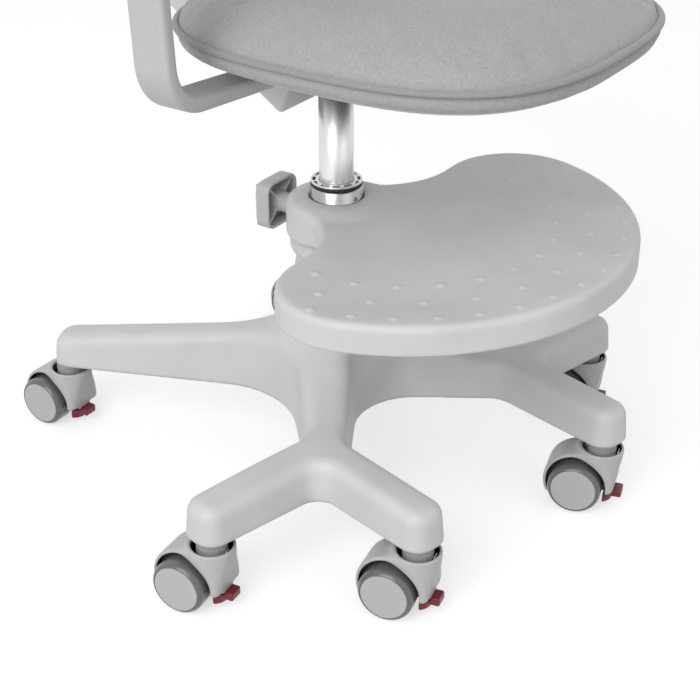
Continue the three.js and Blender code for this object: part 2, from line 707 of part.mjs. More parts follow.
function clampRod(radius, from, to) {
  const made = rod(radius, from, to, 16);
  return placed(made, { turn: [0, -QUARTER_TURN, 0], move: [0, 0, KNOB_HEIGHT] });
}

function clampPad() {
  const disc = clampRod(CLAMP_PAD_RADIUS, PAD_FRONT, PAD_BACK);
  return disc.subtract(rod(COLUMN_RADIUS + GAP, BOSS_BOTTOM, BOSS_TOP, 24));
}

function clampStud() {
  return clampRod(STUD_RADIUS, PAD_BACK + GAP, KNOB_RIM + KNOB_DEPTH - KNOB_WALL - GAP);
}

function clampInsert() {
  const insert = clampRod(INSERT_RADIUS, INSERT_START, INSERT_START + INSERT_LENGTH);
  return insert.subtract(clampRod(STUD_RADIUS + GAP, COLUMN_RADIUS, BOSS_RADIUS));
}

function clampKnob() {
  const half = KNOB_SIZE / 2;
  const outline = roundedRectangle(-half, half, -half, half, KNOB_CORNER);
  const face = KNOB_RIM + KNOB_DEPTH;
  const shell = lofted(outline, [
    { inset: 0, z: KNOB_RIM }, { inset: 0, z: face - KNOB_EDGE },
    { inset: KNOB_EDGE * ROUNDING_SHARE, z: face - KNOB_EDGE * ROUNDING_SHARE }, { inset: KNOB_EDGE, z: face },
  ]);
  const cavity = lofted(outline, [
    { inset: KNOB_WALL, z: KNOB_RIM - OVERRUN }, { inset: KNOB_WALL, z: face - KNOB_WALL },
  ]);
  const ribs = [1, 3].map((eighth) => placed(
    block(-KNOB_SIZE, KNOB_SIZE, -KNOB_RIB / 2, KNOB_RIB / 2, KNOB_RIM + KNOB_RIB, face),
    { turn: [0, 0, eighth * QUARTER_TURN / 2] },
  ));
  const hubBoss = rod(KNOB_HUB_RADIUS, KNOB_RIM - KNOB_HUB_STAND, face - KNOB_WALL / 2, 20);
  const bore = rod(STUD_RADIUS + GAP, KNOB_RIM - KNOB_SIZE, face - KNOB_WALL, 16);
  const whole = shell.subtract(cavity).add(union(ribs).intersect(shell)).add(hubBoss).subtract(bore);
  return placed(whole, { turn: [0, -QUARTER_TURN, 0], move: [0, 0, KNOB_HEIGHT] });
}

// Castors, with the swivel axis at the origin and the nose along +X

function acrossAxle(radius, from, to, segments) {
  return alongY(rod(radius, from, to, segments), [-CASTOR_TRAIL, 0, WHEEL_RADIUS]);
}

function castorHood() {
  const half = WEB_WIDTH / 2;
  const cupFloor = HOOD_TOP - CUP_DEPTH;
  const nose = rod(HOOD_RADIUS, WEB_BOTTOM, HOOD_TOP, 14);
  const toeLean = (HOOD_RADIUS - HOOD_TOE) / (TOE_TOP - HOOD_BOTTOM);
  const toe = alongYProfile([
    [HOOD_RADIUS, TOE_TOP, 0], [HOOD_TOE - HOOD_BOTTOM * toeLean, 0, 0], [HOOD_TOP, 0, 0],
    [HOOD_TOP, TOE_TOP, 0],
  ], HOOD_TOP, 0);
  const fenderRadius = WHEEL_RADIUS + FENDER_GAP + FENDER_WALL;
  const fender = acrossAxle(fenderRadius, -FENDER_WIDTH / 2, FENDER_WIDTH / 2, 16);
  const pockets = [-1, 1].map((side) => (
    acrossAxle(WHEEL_RADIUS + FENDER_GAP, Math.min(side * half, side * HOOD_TOP),
      Math.max(side * half, side * HOOD_TOP), 16)
  ));
  const rear = block(-CASTOR_TRAIL - HOOD_TOP, 0, -HOOD_TOP, HOOD_TOP, -HOOD_TOP, FENDER_BOTTOM);
  const front = block(-OVERRUN, HOOD_TOP, -HOOD_TOP, HOOD_TOP, -HOOD_TOP, WEB_BOTTOM);
  const edges = [-1, 1].map((side) => (
    block(-OVERRUN, HOOD_TOP, Math.min(side * half, side * HOOD_TOP),
      Math.max(side * half, side * HOOD_TOP), 0, HOOD_BOTTOM)
  ));
  const cup = rod(HOOD_RADIUS - HOOD_WALL, cupFloor, HOOD_TOP + OVERRUN, 12);
  const stemBore = rod(STEM_RADIUS + GAP, STEM_BOTTOM - GAP, HOOD_TOP, 10);
  const axleBore = acrossAxle(AXLE_RADIUS + GAP, -HOOD_TOP, HOOD_TOP, 8);
  const tongue = BRAKE_TONGUE / 2 + GAP;
  const slot = block(
    BRAKE_BLOCK_BACK - BRAKE_SWING, BRAKE_PIVOT_X + BRAKE_TONGUE / 2 + BRAKE_SWING,
    -tongue, tongue, -OVERRUN, BRAKE_PIVOT_Z + BRAKE_TONGUE / 2 + BRAKE_SWING,
  );
  const pinBore = alongY(
    rod(BRAKE_PIN_RADIUS + GAP, -BRAKE_PIN_REACH - GAP, BRAKE_PIN_REACH + GAP, 6),
    [BRAKE_PIVOT_X, 0, BRAKE_PIVOT_Z],
  );
  const cuts = union([...pockets, ...edges, toe, rear, front, cup, stemBore, axleBore, slot, pinBore]);
  return nose.add(fender).subtract(cuts);
}

function castorStem() {
  const flangeTop = ARM_UNDERSIDE - GAP;
  const plug = ARM_UNDERSIDE + STEM_PLUG;
  return turned([
    [0, STEM_BOTTOM], [STEM_RADIUS, STEM_BOTTOM], [STEM_RADIUS, flangeTop - STEM_FLANGE],
    [STEM_FLANGE_RADIUS, flangeTop - STEM_FLANGE], [STEM_FLANGE_RADIUS, flangeTop],
    [STEM_RADIUS, flangeTop], [STEM_RADIUS, plug], [0, plug],
  ], 8);
}

function castorAxle() {
  return acrossAxle(AXLE_RADIUS, -AXLE_REACH, AXLE_REACH, 8);
}

// Each wheel runs from the web out to its closed disc
function castorWheel(side) {
  const inner = WEB_WIDTH / 2 + WHEEL_GAP;
  const outer = inner + WHEEL_WIDTH;
  const shoulder = outer - WHEEL_CROWN / 2;
  const wheel = turned([
    [0, AXLE_REACH + GAP], [AXLE_RADIUS + GAP, AXLE_REACH + GAP], [AXLE_RADIUS + GAP, inner],
    [WHEEL_RADIUS - WHEEL_CROWN / 2, inner], [WHEEL_RADIUS, inner + WHEEL_CROWN / 2],
    [WHEEL_RADIUS, outer - WHEEL_CROWN], [WHEEL_RADIUS - WHEEL_CROWN * ROUNDING_SHARE, shoulder],
    [WHEEL_DISC_RADIUS, outer], [0, outer],
  ], 12);
  return placed(wheel, {
    turn: [-side * QUARTER_TURN, 0, 0], move: [-CASTOR_TRAIL, 0, WHEEL_RADIUS],
  });
}

function castorBrake() {
  const half = BRAKE_BLOCK_RADIUS;
  const tab = BRAKE_TAB_WIDTH / 2;
  const tongue = BRAKE_TONGUE / 2;
  const pedal = rod(half, BRAKE_BLOCK_BOTTOM, BRAKE_BLOCK_TOP, 10).intersect(block(
    BRAKE_BLOCK_BACK, half, -half, half, BRAKE_BLOCK_BOTTOM, BRAKE_BLOCK_TOP,
  ));
  const lip = alongYProfile([
    [BRAKE_PIVOT_X, BRAKE_TAB_BOTTOM, 0], [BRAKE_TAB_FRONT, BRAKE_TAB_BOTTOM, BRAKE_ROUNDING],
    [BRAKE_TAB_FRONT, BRAKE_TAB_TOP, BRAKE_ROUNDING], [BRAKE_TAB_BACK, BRAKE_TAB_TOP, 0],
    [BRAKE_TAB_BACK, BRAKE_BLOCK_TOP, 0], [BRAKE_PIVOT_X, BRAKE_BLOCK_TOP, 0],
  ], tab, 0);
  const neck = block(
    BRAKE_BLOCK_BACK, BRAKE_PIVOT_X + tongue, -tongue, tongue,
    BRAKE_BLOCK_BOTTOM, BRAKE_PIVOT_Z + tongue,
  );
  const pin = alongY(
    rod(BRAKE_PIN_RADIUS, -BRAKE_PIN_REACH, BRAKE_PIN_REACH, 6), [BRAKE_PIVOT_X, 0, BRAKE_PIVOT_Z],
  );
  return union([pedal, lip, neck, pin]);
}

// Flat pieces: an outline given a thickness along Z, with softened edges

function plank(outline, thickness, edge) {
  if (edge === 0) return lofted(outline, [{ inset: 0, z: 0 }, { inset: 0, z: thickness }]);
  return lofted(outline, [
    { inset: edge, z: 0 }, { inset: 0, z: edge }, { inset: 0, z: thickness - edge }, { inset: edge, z: thickness },
  ]);
}

// A side view in X and Z given a width, half to each side of the middle
function alongYProfile(corners, half, edge) {
  const made = plank(roundedOutline(corners), 2 * half, edge);
  return placed(made, { turn: [QUARTER_TURN, 0, 0], move: [0, half, 0] });
}

// A rounded plan between two ends of X, for the soft pieces and what carries them
function softOutline(x0, x1, half) {
  const power = 2 / CUSHION_SQUARENESS;
  const bulge = (value) => Math.sign(value) * Math.abs(value) ** power;
  return Array.from({ length: SOFT_POINTS }, (_, k) => {
    const angle = (k + 0.5) * FULL_TURN / SOFT_POINTS;
    return {
      x: (x0 + x1) / 2 + (x1 - x0) / 2 * bulge(Math.cos(angle)),
      y: half * bulge(Math.sin(angle)),
    };
  });
}

// Copies of an outline drawn in towards its middle by each ring's share, joined and closed
function pillow(outline, rings, middle, heightAt) {
  const levels = rings.map(([share, heightShare]) => (point) => {
    const toMiddle = Math.hypot(point.x - middle, point.y) * (1 - share);
    return { inset: toMiddle, z: heightAt(heightShare, point, share) };
  });
  const facing = outline.map(({ x, y }) => {
    const away = Math.hypot(x - middle, y);
    return { x, y, nx: (middle - x) / away, ny: -y / away };
  });
  return lofted(facing, levels);
}

// Mechanism, seat and armrests

function mechanismHousing() {
  const outline = roundedRectangle(
    -MECHANISM_BACK, MECHANISM_FRONT, -MECHANISM_HALF_WIDTH, MECHANISM_HALF_WIDTH, MECHANISM_CORNER,
  );
  const top = PAN_BOTTOM - GAP;
  const tray = lofted(outline, [
    { inset: MECHANISM_CHAMFER, z: MECHANISM_BOTTOM },
    { inset: 0, z: MECHANISM_BOTTOM + MECHANISM_CHAMFER }, { inset: 0, z: top },
  ]);
  const inside = MECHANISM_BOTTOM + MECHANISM_CHAMFER + MECHANISM_WALL;
  const cavity = lofted(outline, [
    { inset: MECHANISM_CHAMFER + MECHANISM_WALL, z: MECHANISM_BOTTOM + MECHANISM_WALL },
    { inset: MECHANISM_WALL, z: inside }, { inset: MECHANISM_WALL, z: top + OVERRUN },
  ]);
  const bore = LIFT_RADIUS + GAP;
  const socket = rod(bore + SOCKET_WALL / 2, SOCKET_BOTTOM, SOCKET_CAP + SOCKET_ROOF, 24);
  const boreHole = rod(bore, SOCKET_BOTTOM - OVERRUN, SOCKET_CAP, 24);
  const buttonHole = rod(BUTTON_RADIUS + LEVER_PLAY, SOCKET_BOTTOM, top, 16);
  const leverHole = alongY(rod(LEVER_RADIUS + LEVER_PLAY, 0, MECHANISM_HALF_WIDTH + OVERRUN, 16),
    [LEVER_X, 0, LEVER_Z]);
  return tray.subtract(cavity).add(socket).subtract(union([boreHole, buttonHole, leverHole]));
}

// The lever's tongue lies over the lift's button, and its paddle sticks out at the sitter's left
function heightLever() {
  const stem = alongY(rod(LEVER_RADIUS, 0, PADDLE_START + PADDLE_CORNER, 12), [LEVER_X, 0, LEVER_Z]);
  const tongueHalf = LEVER_TONGUE / 2;
  const tongue = block(
    -LEVER_TONGUE, LEVER_X, -LEVER_TONGUE, LEVER_TONGUE, LEVER_Z - tongueHalf, LEVER_Z + tongueHalf,
  );
  const outline = roundedRectangle(
    LEVER_X - PADDLE_WIDTH / 2, LEVER_X + PADDLE_WIDTH / 2, PADDLE_START, PADDLE_END, PADDLE_CORNER,
  );
  const paddle = plank(outline, PADDLE_THICKNESS, PADDLE_EDGE);
  return union([stem, tongue, placed(paddle, { move: [0, 0, LEVER_Z - PADDLE_THICKNESS / 2] })]);
}

const PAN_BOTTOM = CUSHION_BOTTOM - GAP - PAN_THICKNESS;

function seatPan() {
  const outline = softOutline(PAN_LIP - SEAT_BACK, SEAT_FRONT - PAN_LIP, SEAT_HALF_WIDTH - PAN_LIP);
  const middle = (SEAT_FRONT - SEAT_BACK) / 2;
  const taper = 1 - PAN_TAPER / (SEAT_HALF_WIDTH - PAN_LIP);
  const rings = [[taper, 0], [1, 0.8], [1, 1]];
  return pillow(outline, rings, middle, (share) => PAN_BOTTOM + PAN_THICKNESS * share);
}

// The cushion is crowned, drawn in at its welt, and falls away at the front
function seatCushion() {
  const outline = softOutline(-SEAT_BACK, SEAT_FRONT, SEAT_HALF_WIDTH);
  const middle = (SEAT_FRONT - SEAT_BACK) / 2;
  const ringShares = [
    [0.55, 0], [0.88, 0], [0.95, 0.02], [0.985, 0.1], [1, 0.24], [0.993, 0.4], [0.978, 0.47],
    [0.99, 0.55], [0.975, 0.7], [0.93, 0.84], [0.83, 0.93], [0.66, 0.975], [0.45, 0.995], [0.2, 1],
  ];
  return pillow(outline, ringShares, middle, (share, { x }, ringShare) => {
    const forward = (middle + (x - middle) * ringShare) / SEAT_FRONT;
    const fall = CUSHION_FRONT_FALL * Math.max(0, forward) ** 3 * share;
    return CUSHION_BOTTOM + CUSHION_THICKNESS * share - fall;
  });
}

function armrestBracket(side) {
  const outerTop = BRACKET_REACH + BRACKET_LEAN;
  const top = ARM_PAD_BOTTOM - GAP;
  const bend = BRACKET_BEND + BRACKET_THICKNESS;
  const outline = roundedOutline([
    [MECHANISM_HALF_WIDTH + GAP, BRACKET_INNER_BOTTOM, BRACKET_EDGE],
    [BRACKET_REACH, BRACKET_OUTER_BOTTOM, bend],
    [outerTop, top, BRACKET_EDGE],
    [outerTop - BRACKET_THICKNESS, top, BRACKET_EDGE],
    [BRACKET_REACH - BRACKET_THICKNESS, BRACKET_OUTER_BOTTOM + BRACKET_THICKNESS, BRACKET_BEND],
    [MECHANISM_HALF_WIDTH + GAP, BRACKET_INNER_BOTTOM + BRACKET_THICKNESS, BRACKET_EDGE],
  ]);
  const bar = plank(outline, BRACKET_WIDTH, BRACKET_EDGE * (1 - ROUNDING_SHARE));
  const upright = placed(bar, {
    turn: [QUARTER_TURN, 0, QUARTER_TURN], move: [BRACKET_CENTRE - BRACKET_WIDTH / 2, 0, 0],
  });
  return side > 0 ? upright : mirrored(upright);
}

function armPad(side) {
  const centre = side * (BRACKET_REACH + BRACKET_LEAN - BRACKET_THICKNESS / 2);
  const [half, width] = [ARM_PAD_LENGTH / 2, ARM_PAD_WIDTH / 2];
  const outline = roundedRectangle(
    ARM_PAD_SHIFT - half, ARM_PAD_SHIFT + half, centre - width, centre + width, ARM_PAD_CORNER,
  );
  return placed(plank(outline, ARM_PAD_THICKNESS, ARM_PAD_EDGE), { move: [0, 0, ARM_PAD_BOTTOM] });
}

// Back

function backCarrier() {
  const top = MECHANISM_BOTTOM - GAP;
  const slope = Math.tan(CARRIER_RISE);
  const noseX = CARRIER_CORNER_X + (top - CARRIER_CORNER_Z) / Math.tan(CARRIER_NOSE);
  const rearX = UPRIGHT_X - UPRIGHT_THICKNESS / 2;
  const frontX = UPRIGHT_X + UPRIGHT_THICKNESS / 2;
  const stepX = -MECHANISM_BACK - GAP;
  const underside = (x) => CARRIER_CORNER_Z + (CARRIER_CORNER_X - x) * slope;
  const foot = alongYProfile([
    [noseX, top, CARRIER_ROUNDING / 2], [stepX, top, CARRIER_ROUNDING / 2],
    [stepX, underside(stepX) + CARRIER_DEPTH, CARRIER_ROUNDING / 2],
    [frontX, underside(frontX) + CARRIER_DEPTH, CARRIER_BEND / 2],
    [frontX, underside(frontX) + 2 * CARRIER_DEPTH, CARRIER_ROUNDING],
    [rearX, underside(rearX) + 2 * CARRIER_DEPTH, CARRIER_ROUNDING],
    [rearX, underside(rearX), CARRIER_BEND],
    [CARRIER_CORNER_X, CARRIER_CORNER_Z, CARRIER_ROUNDING],
  ], CARRIER_HALF_WIDTH, CARRIER_ROUNDING / 2);
  const upright = block(
    rearX, frontX, -UPRIGHT_HALF_WIDTH, UPRIGHT_HALF_WIDTH, underside(frontX) + CARRIER_DEPTH, UPRIGHT_TOP,
  );
  const socket = rod(LIFT_RADIUS + SOCKET_WALL, 0, MECHANISM_BOTTOM, 24);
  return foot.add(upright).subtract(socket);
}

// Turns a piece made flat, with its top along +X, to stand up and bends its sides forwards
function stoodUp(solid, x) {
  const geometry = geometryOf(placed(solid, { turn: [0, -QUARTER_TURN, 0], move: [x, 0, 0] }));
  const position = geometry.getAttribute('position');
  for (let i = 0; i < position.count; i += 1) {
    const out = position.getY(i) / BACK_HALF_WIDTH;
    position.setX(i, position.getX(i) + BACK_BEND * out ** 2);
  }
  return solidOf(geometry);
}

// The shell's plan is its height along X and its width along Y until it is stood up
function backShell() {
  const middle = (BACK_BOTTOM + BACK_TOP) / 2;
  const front = -UPRIGHT_X - UPRIGHT_THICKNESS / 2 - GAP - SLEEVE_WALL;
  const outline = softOutline(BACK_BOTTOM, BACK_TOP, BACK_HALF_WIDTH);
  const ringShares = [[0.12, 0], [0.4, 0], [0.7, 0], [0.95, 0], [1, 0.35], [1, 1], [0.7, 1], [0.4, 1], [0.12, 1]];
  const flat = pillow(outline, ringShares, middle, (share) => front - BACK_SHELL_THICKNESS * share);
  const shell = stoodUp(flat, 0);
  return shell.add(sleeve());
}

function sleeve() {
  const hole = [UPRIGHT_THICKNESS / 2 + GAP, UPRIGHT_HALF_WIDTH + GAP];
  const [x, y] = hole.map((half) => half + SLEEVE_WALL);
  const front = UPRIGHT_X + x + BACK_SHELL_THICKNESS / 2;
  const outline = roundedRectangle(UPRIGHT_X - x, front, -y, y, SLEEVE_WALL / 2);
  const body = lofted(outline, [{ inset: 0, z: SLEEVE_BOTTOM }, { inset: 0, z: SLEEVE_TOP }]);
  return body.subtract(block(
    UPRIGHT_X - hole[0], UPRIGHT_X + hole[0], -hole[1], hole[1], SLEEVE_BOTTOM - OVERRUN, SLEEVE_TOP + OVERRUN,
  ));
}

function backCushion() {
  const middle = (BACK_BOTTOM + BACK_TOP) / 2;
  const inset = BACK_CUSHION_INSET;
  const rear = -UPRIGHT_X - UPRIGHT_THICKNESS / 2 - SLEEVE_WALL - BACK_SHELL_THICKNESS - 3 * GAP;
  const outline = softOutline(BACK_BOTTOM + inset, BACK_TOP - inset, BACK_HALF_WIDTH - inset);
  const ringShares = [
    [0.12, 0], [0.45, 0], [0.75, 0], [0.93, 0.01], [0.985, 0.15], [1, 0.34], [0.982, 0.44], [0.985, 0.56],
    [0.95, 0.74], [0.87, 0.88], [0.72, 0.96], [0.5, 0.99], [0.25, 1],
  ];
  const flat = pillow(outline, ringShares, middle, (share) => rear - BACK_CUSHION_THICKNESS * share);
  return stoodUp(flat, 0);
}

// Assembly

function castor({ name, x, y, heading }) {
  const group = new THREE.Group();
  group.add(
    piece(`castor_stem_${name}`, castorStem(), 'steel'),
    piece(`castor_hood_${name}`, castorHood(), 'hood'),
    piece(`castor_axle_${name}`, castorAxle(), 'steel'),
    piece(`castor_wheel_${name}_a`, castorWheel(1), 'disc'),
    piece(`castor_wheel_${name}_b`, castorWheel(-1), 'disc'),
    piece(`castor_brake_${name}`, castorBrake(), 'red'),
  );
  group.rotation.z = THREE.MathUtils.degToRad(heading) + Math.PI;
  group.position.set(x, y, 0);
  return group;
}

const footrest = new THREE.Group();
footrest.rotation.z = UPPER_TURN;
footrest.add(
  piece('footrest_plate', footrestPlate(), 'nylon'),
  piece('footrest_bush', footrestBush(), 'black'),
  piece('clamp_pad', clampPad(), 'brass'),
  piece('clamp_stud', clampStud(), 'steel'),
  piece('clamp_insert', clampInsert(), 'brass'),
  piece('clamp_knob', clampKnob(), 'hood'),
);

const seat = new THREE.Group();
seat.rotation.z = UPPER_TURN;
seat.add(
  piece('mechanism_housing', mechanismHousing(), 'black'),
  piece('height_lever', heightLever(), 'black'),
  piece('seat_pan', seatPan(), 'nylon'),
  piece('seat_cushion', seatCushion(), 'fabric'),
  piece('armrest_bracket_left', armrestBracket(1), 'hood'),
  piece('armrest_bracket_right', armrestBracket(-1), 'hood'),
  piece('arm_pad_left', armPad(1), 'black'),
  piece('arm_pad_right', armPad(-1), 'black'),
  piece('back_carrier', backCarrier(), 'nylon'),
  piece('back_shell', backShell(), 'nylon'),
  piece('back_cushion', backCushion(), 'fabric'),
);

const group = new THREE.Group();
group.add(
  piece('star_base', starBase(), 'nylon'),
  piece('column_tube', columnTube(), 'chrome'),
  piece('column_bush', columnBush(), 'black'),
  piece('column_screw', columnScrew(SCREW_RADIUS), 'steel'),
  piece('lift_rod', liftRod(), 'steel'),
  piece('lift_cylinder', liftCylinder(), 'chrome'),
  piece('lift_button', liftButton(), 'steel'),
  ...ARM_TIPS.map(castor),
  footrest,
  seat,
);

export default group;
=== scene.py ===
"""Looks of a child's study chair on castors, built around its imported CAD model.

Shapes are worked out in millimetres in the frame of the CAD model and made into meshes in metres.
Moulded parts are smooth solids given by a distance field, which is negative inside.
"""

import math

import bpy
import numpy as np
from mathutils import Matrix, Vector


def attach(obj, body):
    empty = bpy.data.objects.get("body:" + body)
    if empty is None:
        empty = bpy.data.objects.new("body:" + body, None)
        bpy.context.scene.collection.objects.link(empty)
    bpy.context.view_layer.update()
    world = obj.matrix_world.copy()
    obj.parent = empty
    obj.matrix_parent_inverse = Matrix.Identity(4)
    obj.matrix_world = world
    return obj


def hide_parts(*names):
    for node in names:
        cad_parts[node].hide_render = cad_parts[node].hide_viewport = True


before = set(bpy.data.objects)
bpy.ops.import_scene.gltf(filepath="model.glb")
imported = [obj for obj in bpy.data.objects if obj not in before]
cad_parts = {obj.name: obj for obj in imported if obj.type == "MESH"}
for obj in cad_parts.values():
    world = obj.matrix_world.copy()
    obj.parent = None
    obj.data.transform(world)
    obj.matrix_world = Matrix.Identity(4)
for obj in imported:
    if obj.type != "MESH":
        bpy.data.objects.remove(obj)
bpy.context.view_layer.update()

MM = 0.001
UPPER_TURN = math.radians(-75.8)
FULL_TURN = 2 * math.pi

# ---- Numbers that follow the CAD model, in millimetres ----

ARM_TIPS = {
    "front_right": (124, -245, 119.5),
    "side_right": (252, -118, 118),
    "rear_right": (171, 232, 112),
    "rear_left": (-171, 232, 105),
    "side_left": (-252, -118, 110.5),
    "front_left": (-124, -245, 115),
}


# ---- Outlines ----

def rounded(corners, closed=True, chord=1.5):
    """Points of a polygon of (x, y, radius) corners, each rounded by a tangent arc."""
    points = []
    count = len(corners)
    for i, (x, y, radius) in enumerate(corners):
        if not radius or (not closed and i in (0, count - 1)):
            points.append((x, y))
            continue
        before = np.array([x, y]) - corners[i - 1][:2]
        after = np.array(corners[(i + 1) % count][:2]) - (x, y)
        before, after = before / np.hypot(*before), after / np.hypot(*after)
        turn = math.atan2(before[0] * after[1] - before[1] * after[0], before @ after)
        side = math.copysign(1, turn)
        start = np.array([x, y]) - before * radius * math.tan(abs(turn) / 2)
        centre = start + side * radius * np.array([-before[1], before[0]])
        angle = math.atan2(*(start - centre)[::-1])
        steps = max(2, math.ceil(abs(turn) * radius / chord), math.ceil(abs(turn) / 0.25))
        for k in range(steps + 1):
            a = angle + turn * k / steps
            points.append((centre[0] + radius * math.cos(a), centre[1] + radius * math.sin(a)))
    return np.array(points)


def rectangle(x0, x1, y0, y1, radius):
    return rounded([(x0, y0, radius), (x1, y0, radius), (x1, y1, radius), (x0, y1, radius)])


def arc(cx, cy, radius, start, end, chord=2.5):
    steps = max(2, math.ceil(abs(end - start) * radius / chord))
    angles = np.linspace(start, end, steps + 1)
    return np.stack([cx + radius * np.cos(angles), cy + radius * np.sin(angles)], 1)


def plan_distance(outline, margin=14, step=1.5):
    """Signed distance to a closed outline, as a function of x and y that reads a grid."""
    low = outline.min(0) - margin
    counts = np.ceil((outline.max(0) + margin - low) / step).astype(int) + 1
    x, y = np.meshgrid(*[low[i] + step * np.arange(counts[i]) for i in (0, 1)], indexing="ij")
    nearest = np.full(x.shape, 1e12)
    within = np.zeros(x.shape, bool)
    for (ax, ay), (bx, by) in zip(outline, np.roll(outline, -1, 0)):
        dx, dy = bx - ax, by - ay
        square = dx * dx + dy * dy
        if square < 1e-9:
            continue
        share = np.clip(((x - ax) * dx + (y - ay) * dy) / square, 0, 1)
        nearest = np.minimum(nearest, (x - ax - share * dx) ** 2 + (y - ay - share * dy) ** 2)
        if dy:
            crosses = ((ay > y) != (by > y)) & (x < ax + dx * (y - ay) / dy)
            within ^= crosses
    grid = np.where(within, -1, 1) * np.sqrt(nearest)

    def distance(px, py):
        u = np.clip((px - low[0]) / step, 0, counts[0] - 1.001)
        v = np.clip((py - low[1]) / step, 0, counts[1] - 1.001)
        i, j = u.astype(int), v.astype(int)
        u, v = u - i, v - j
        return ((grid[i, j] * (1 - u) + grid[i + 1, j] * u) * (1 - v)
                + (grid[i, j + 1] * (1 - u) + grid[i + 1, j + 1] * u) * v)

    return distance


# ---- Distance fields ----

def join(a, b, blend):
    """Union of two fields with a fillet that starts where they differ by blend."""
    share = np.clip(0.5 + 0.5 * (b - a) / blend, 0, 1)
    return b + (a - b) * share - blend * share * (1 - share)


def common(a, b, blend):
    """Intersection of two fields with a rounded edge."""
    return -join(-a, -b, blend)


def cut(a, b, blend):
    """Field a with b taken away, leaving a rounded edge."""
    return common(a, -b, blend)


def segment(x, y, ax, ay, bx, by):
    """Distance in plan to a straight line between two places."""
    dx, dy = bx - ax, by - ay
    share = np.clip(((x - ax) * dx + (y - ay) * dy) / (dx * dx + dy * dy), 0, 1)
    return np.hypot(x - ax - share * dx, y - ay - share * dy)


def between(value, low, high):
    return np.maximum(low - value, value - high)


def soft_box(x, y, z, low, high, radius):
    """Distance to a box with all its edges rounded."""
    parts = [np.abs(v - (a + b) / 2) - (b - a) / 2 + radius for v, a, b in zip((x, y, z), low, high)]
    outside = np.sqrt(sum(np.maximum(p, 0) ** 2 for p in parts))
    return outside + np.minimum(np.maximum(np.maximum(parts[0], parts[1]), parts[2]), 0) - radius


def surface(field, low, high, step, rounds=4):
    """Points and quads of a field's zero surface, one point to each grid cell that it crosses."""
    counts = [int(math.ceil((h - l) / step)) + 1 for l, h in zip(low, high)]
    lines = [l + step * np.arange(n) for l, n in zip(low, counts)]
    value = field(*np.meshgrid(*lines, indexing="ij"))
    inside = value < 0
    corners = [(i, j, k) for i in (0, 1) for j in (0, 1) for k in (0, 1)]
    filled = sum(inside[tuple(slice(o, n - 1 + o) for o, n in zip(c, counts))].astype(np.int8)
                 for c in corners)
    cells = np.argwhere((filled > 0) & (filled < 8))
    number = np.full([n - 1 for n in counts], -1, np.int32)
    number[tuple(cells.T)] = np.arange(len(cells))
    at = {c: value[tuple((cells + c).T)] for c in corners}
    point, hits = np.zeros((len(cells), 3)), np.zeros(len(cells))
    for a in corners:
        for axis in range(3):
            if a[axis]:
                continue
            b = tuple(1 if i == axis else a[i] for i in range(3))
            crosses = (at[a] < 0) != (at[b] < 0)
            share = np.where(crosses, at[a] / np.where(crosses, at[a] - at[b], 1), 0)
            place = np.array(a, float) + np.outer(share, np.subtract(b, a))
            point += place * crosses[:, None]
            hits += crosses
    point = (point / hits[:, None] + cells) * step + np.array(low, float)
    quads = []
    for axis in range(3):
        u, v = (axis + 1) % 3, (axis + 2) % 3
        ends = [[slice(None)] * 3, [slice(None)] * 3]
        ends[0][axis], ends[1][axis] = slice(0, -1), slice(1, None)
        lower, upper = inside[tuple(ends[0])], inside[tuple(ends[1])]
        edge = np.argwhere(lower != upper)
        held = (edge[:, u] > 0) & (edge[:, v] > 0)
        edge = edge[held & (edge[:, u] < counts[u] - 1) & (edge[:, v] < counts[v] - 1)]
        ring = []
        for du, dv in ((-1, -1), (0, -1), (0, 0), (-1, 0)):
            cell = edge.copy()
            cell[:, u] += du
            cell[:, v] += dv
            ring.append(number[tuple(cell.T)])
        quad = np.stack(ring, 1)
        outward = lower[tuple(edge.T)]
        quad[~outward] = quad[~outward][:, ::-1]
        quads.append(quad)
    reach = step * 0.25
    start = point
    for _ in range(rounds):
        here = field(*point.T)
        slope = np.stack([field(*(point + e).T) - field(*(point - e).T)
                          for e in np.eye(3) * reach], 1) / (2 * reach)
        steep = np.maximum((slope ** 2).sum(1), 0.1)
        move = np.clip(here / steep, -step / 2, step / 2)
        point = start + np.clip(point - move[:, None] * slope - start, -step * 0.7, step * 0.7)
    return point, np.concatenate(quads)


# ---- Meshes ----

def upper(points):
    """Turns points of the footrest and seat, made with the front along +X, into the frame."""
    c, s = math.cos(UPPER_TURN), math.sin(UPPER_TURN)
    x, y, z = np.asarray(points, float).T
    return np.stack([x * c - y * s, x * s + y * c, z], 1)


def mesh_of(name, points, faces, materials, slots=None):
    mesh = bpy.data.meshes.new(name)
    mesh.from_pydata((np.asarray(points, float) * MM).tolist(), [], [list(map(int, f)) for f in faces])
    for material in materials:
        mesh.materials.append(material)
    if slots is not None:
        mesh.polygons.foreach_set("material_index", np.asarray(slots, np.int32))
    mesh.shade_smooth()
    mesh.update()
    return mesh


def piece(name, mesh, body, replaces=(), matrix=None):
    item = bpy.data.objects.new(name, mesh)
    bpy.context.scene.collection.objects.link(item)
    if matrix is not None:
        item.matrix_world = matrix
    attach(item, body)
    if replaces:
        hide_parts(*replaces)
    return item


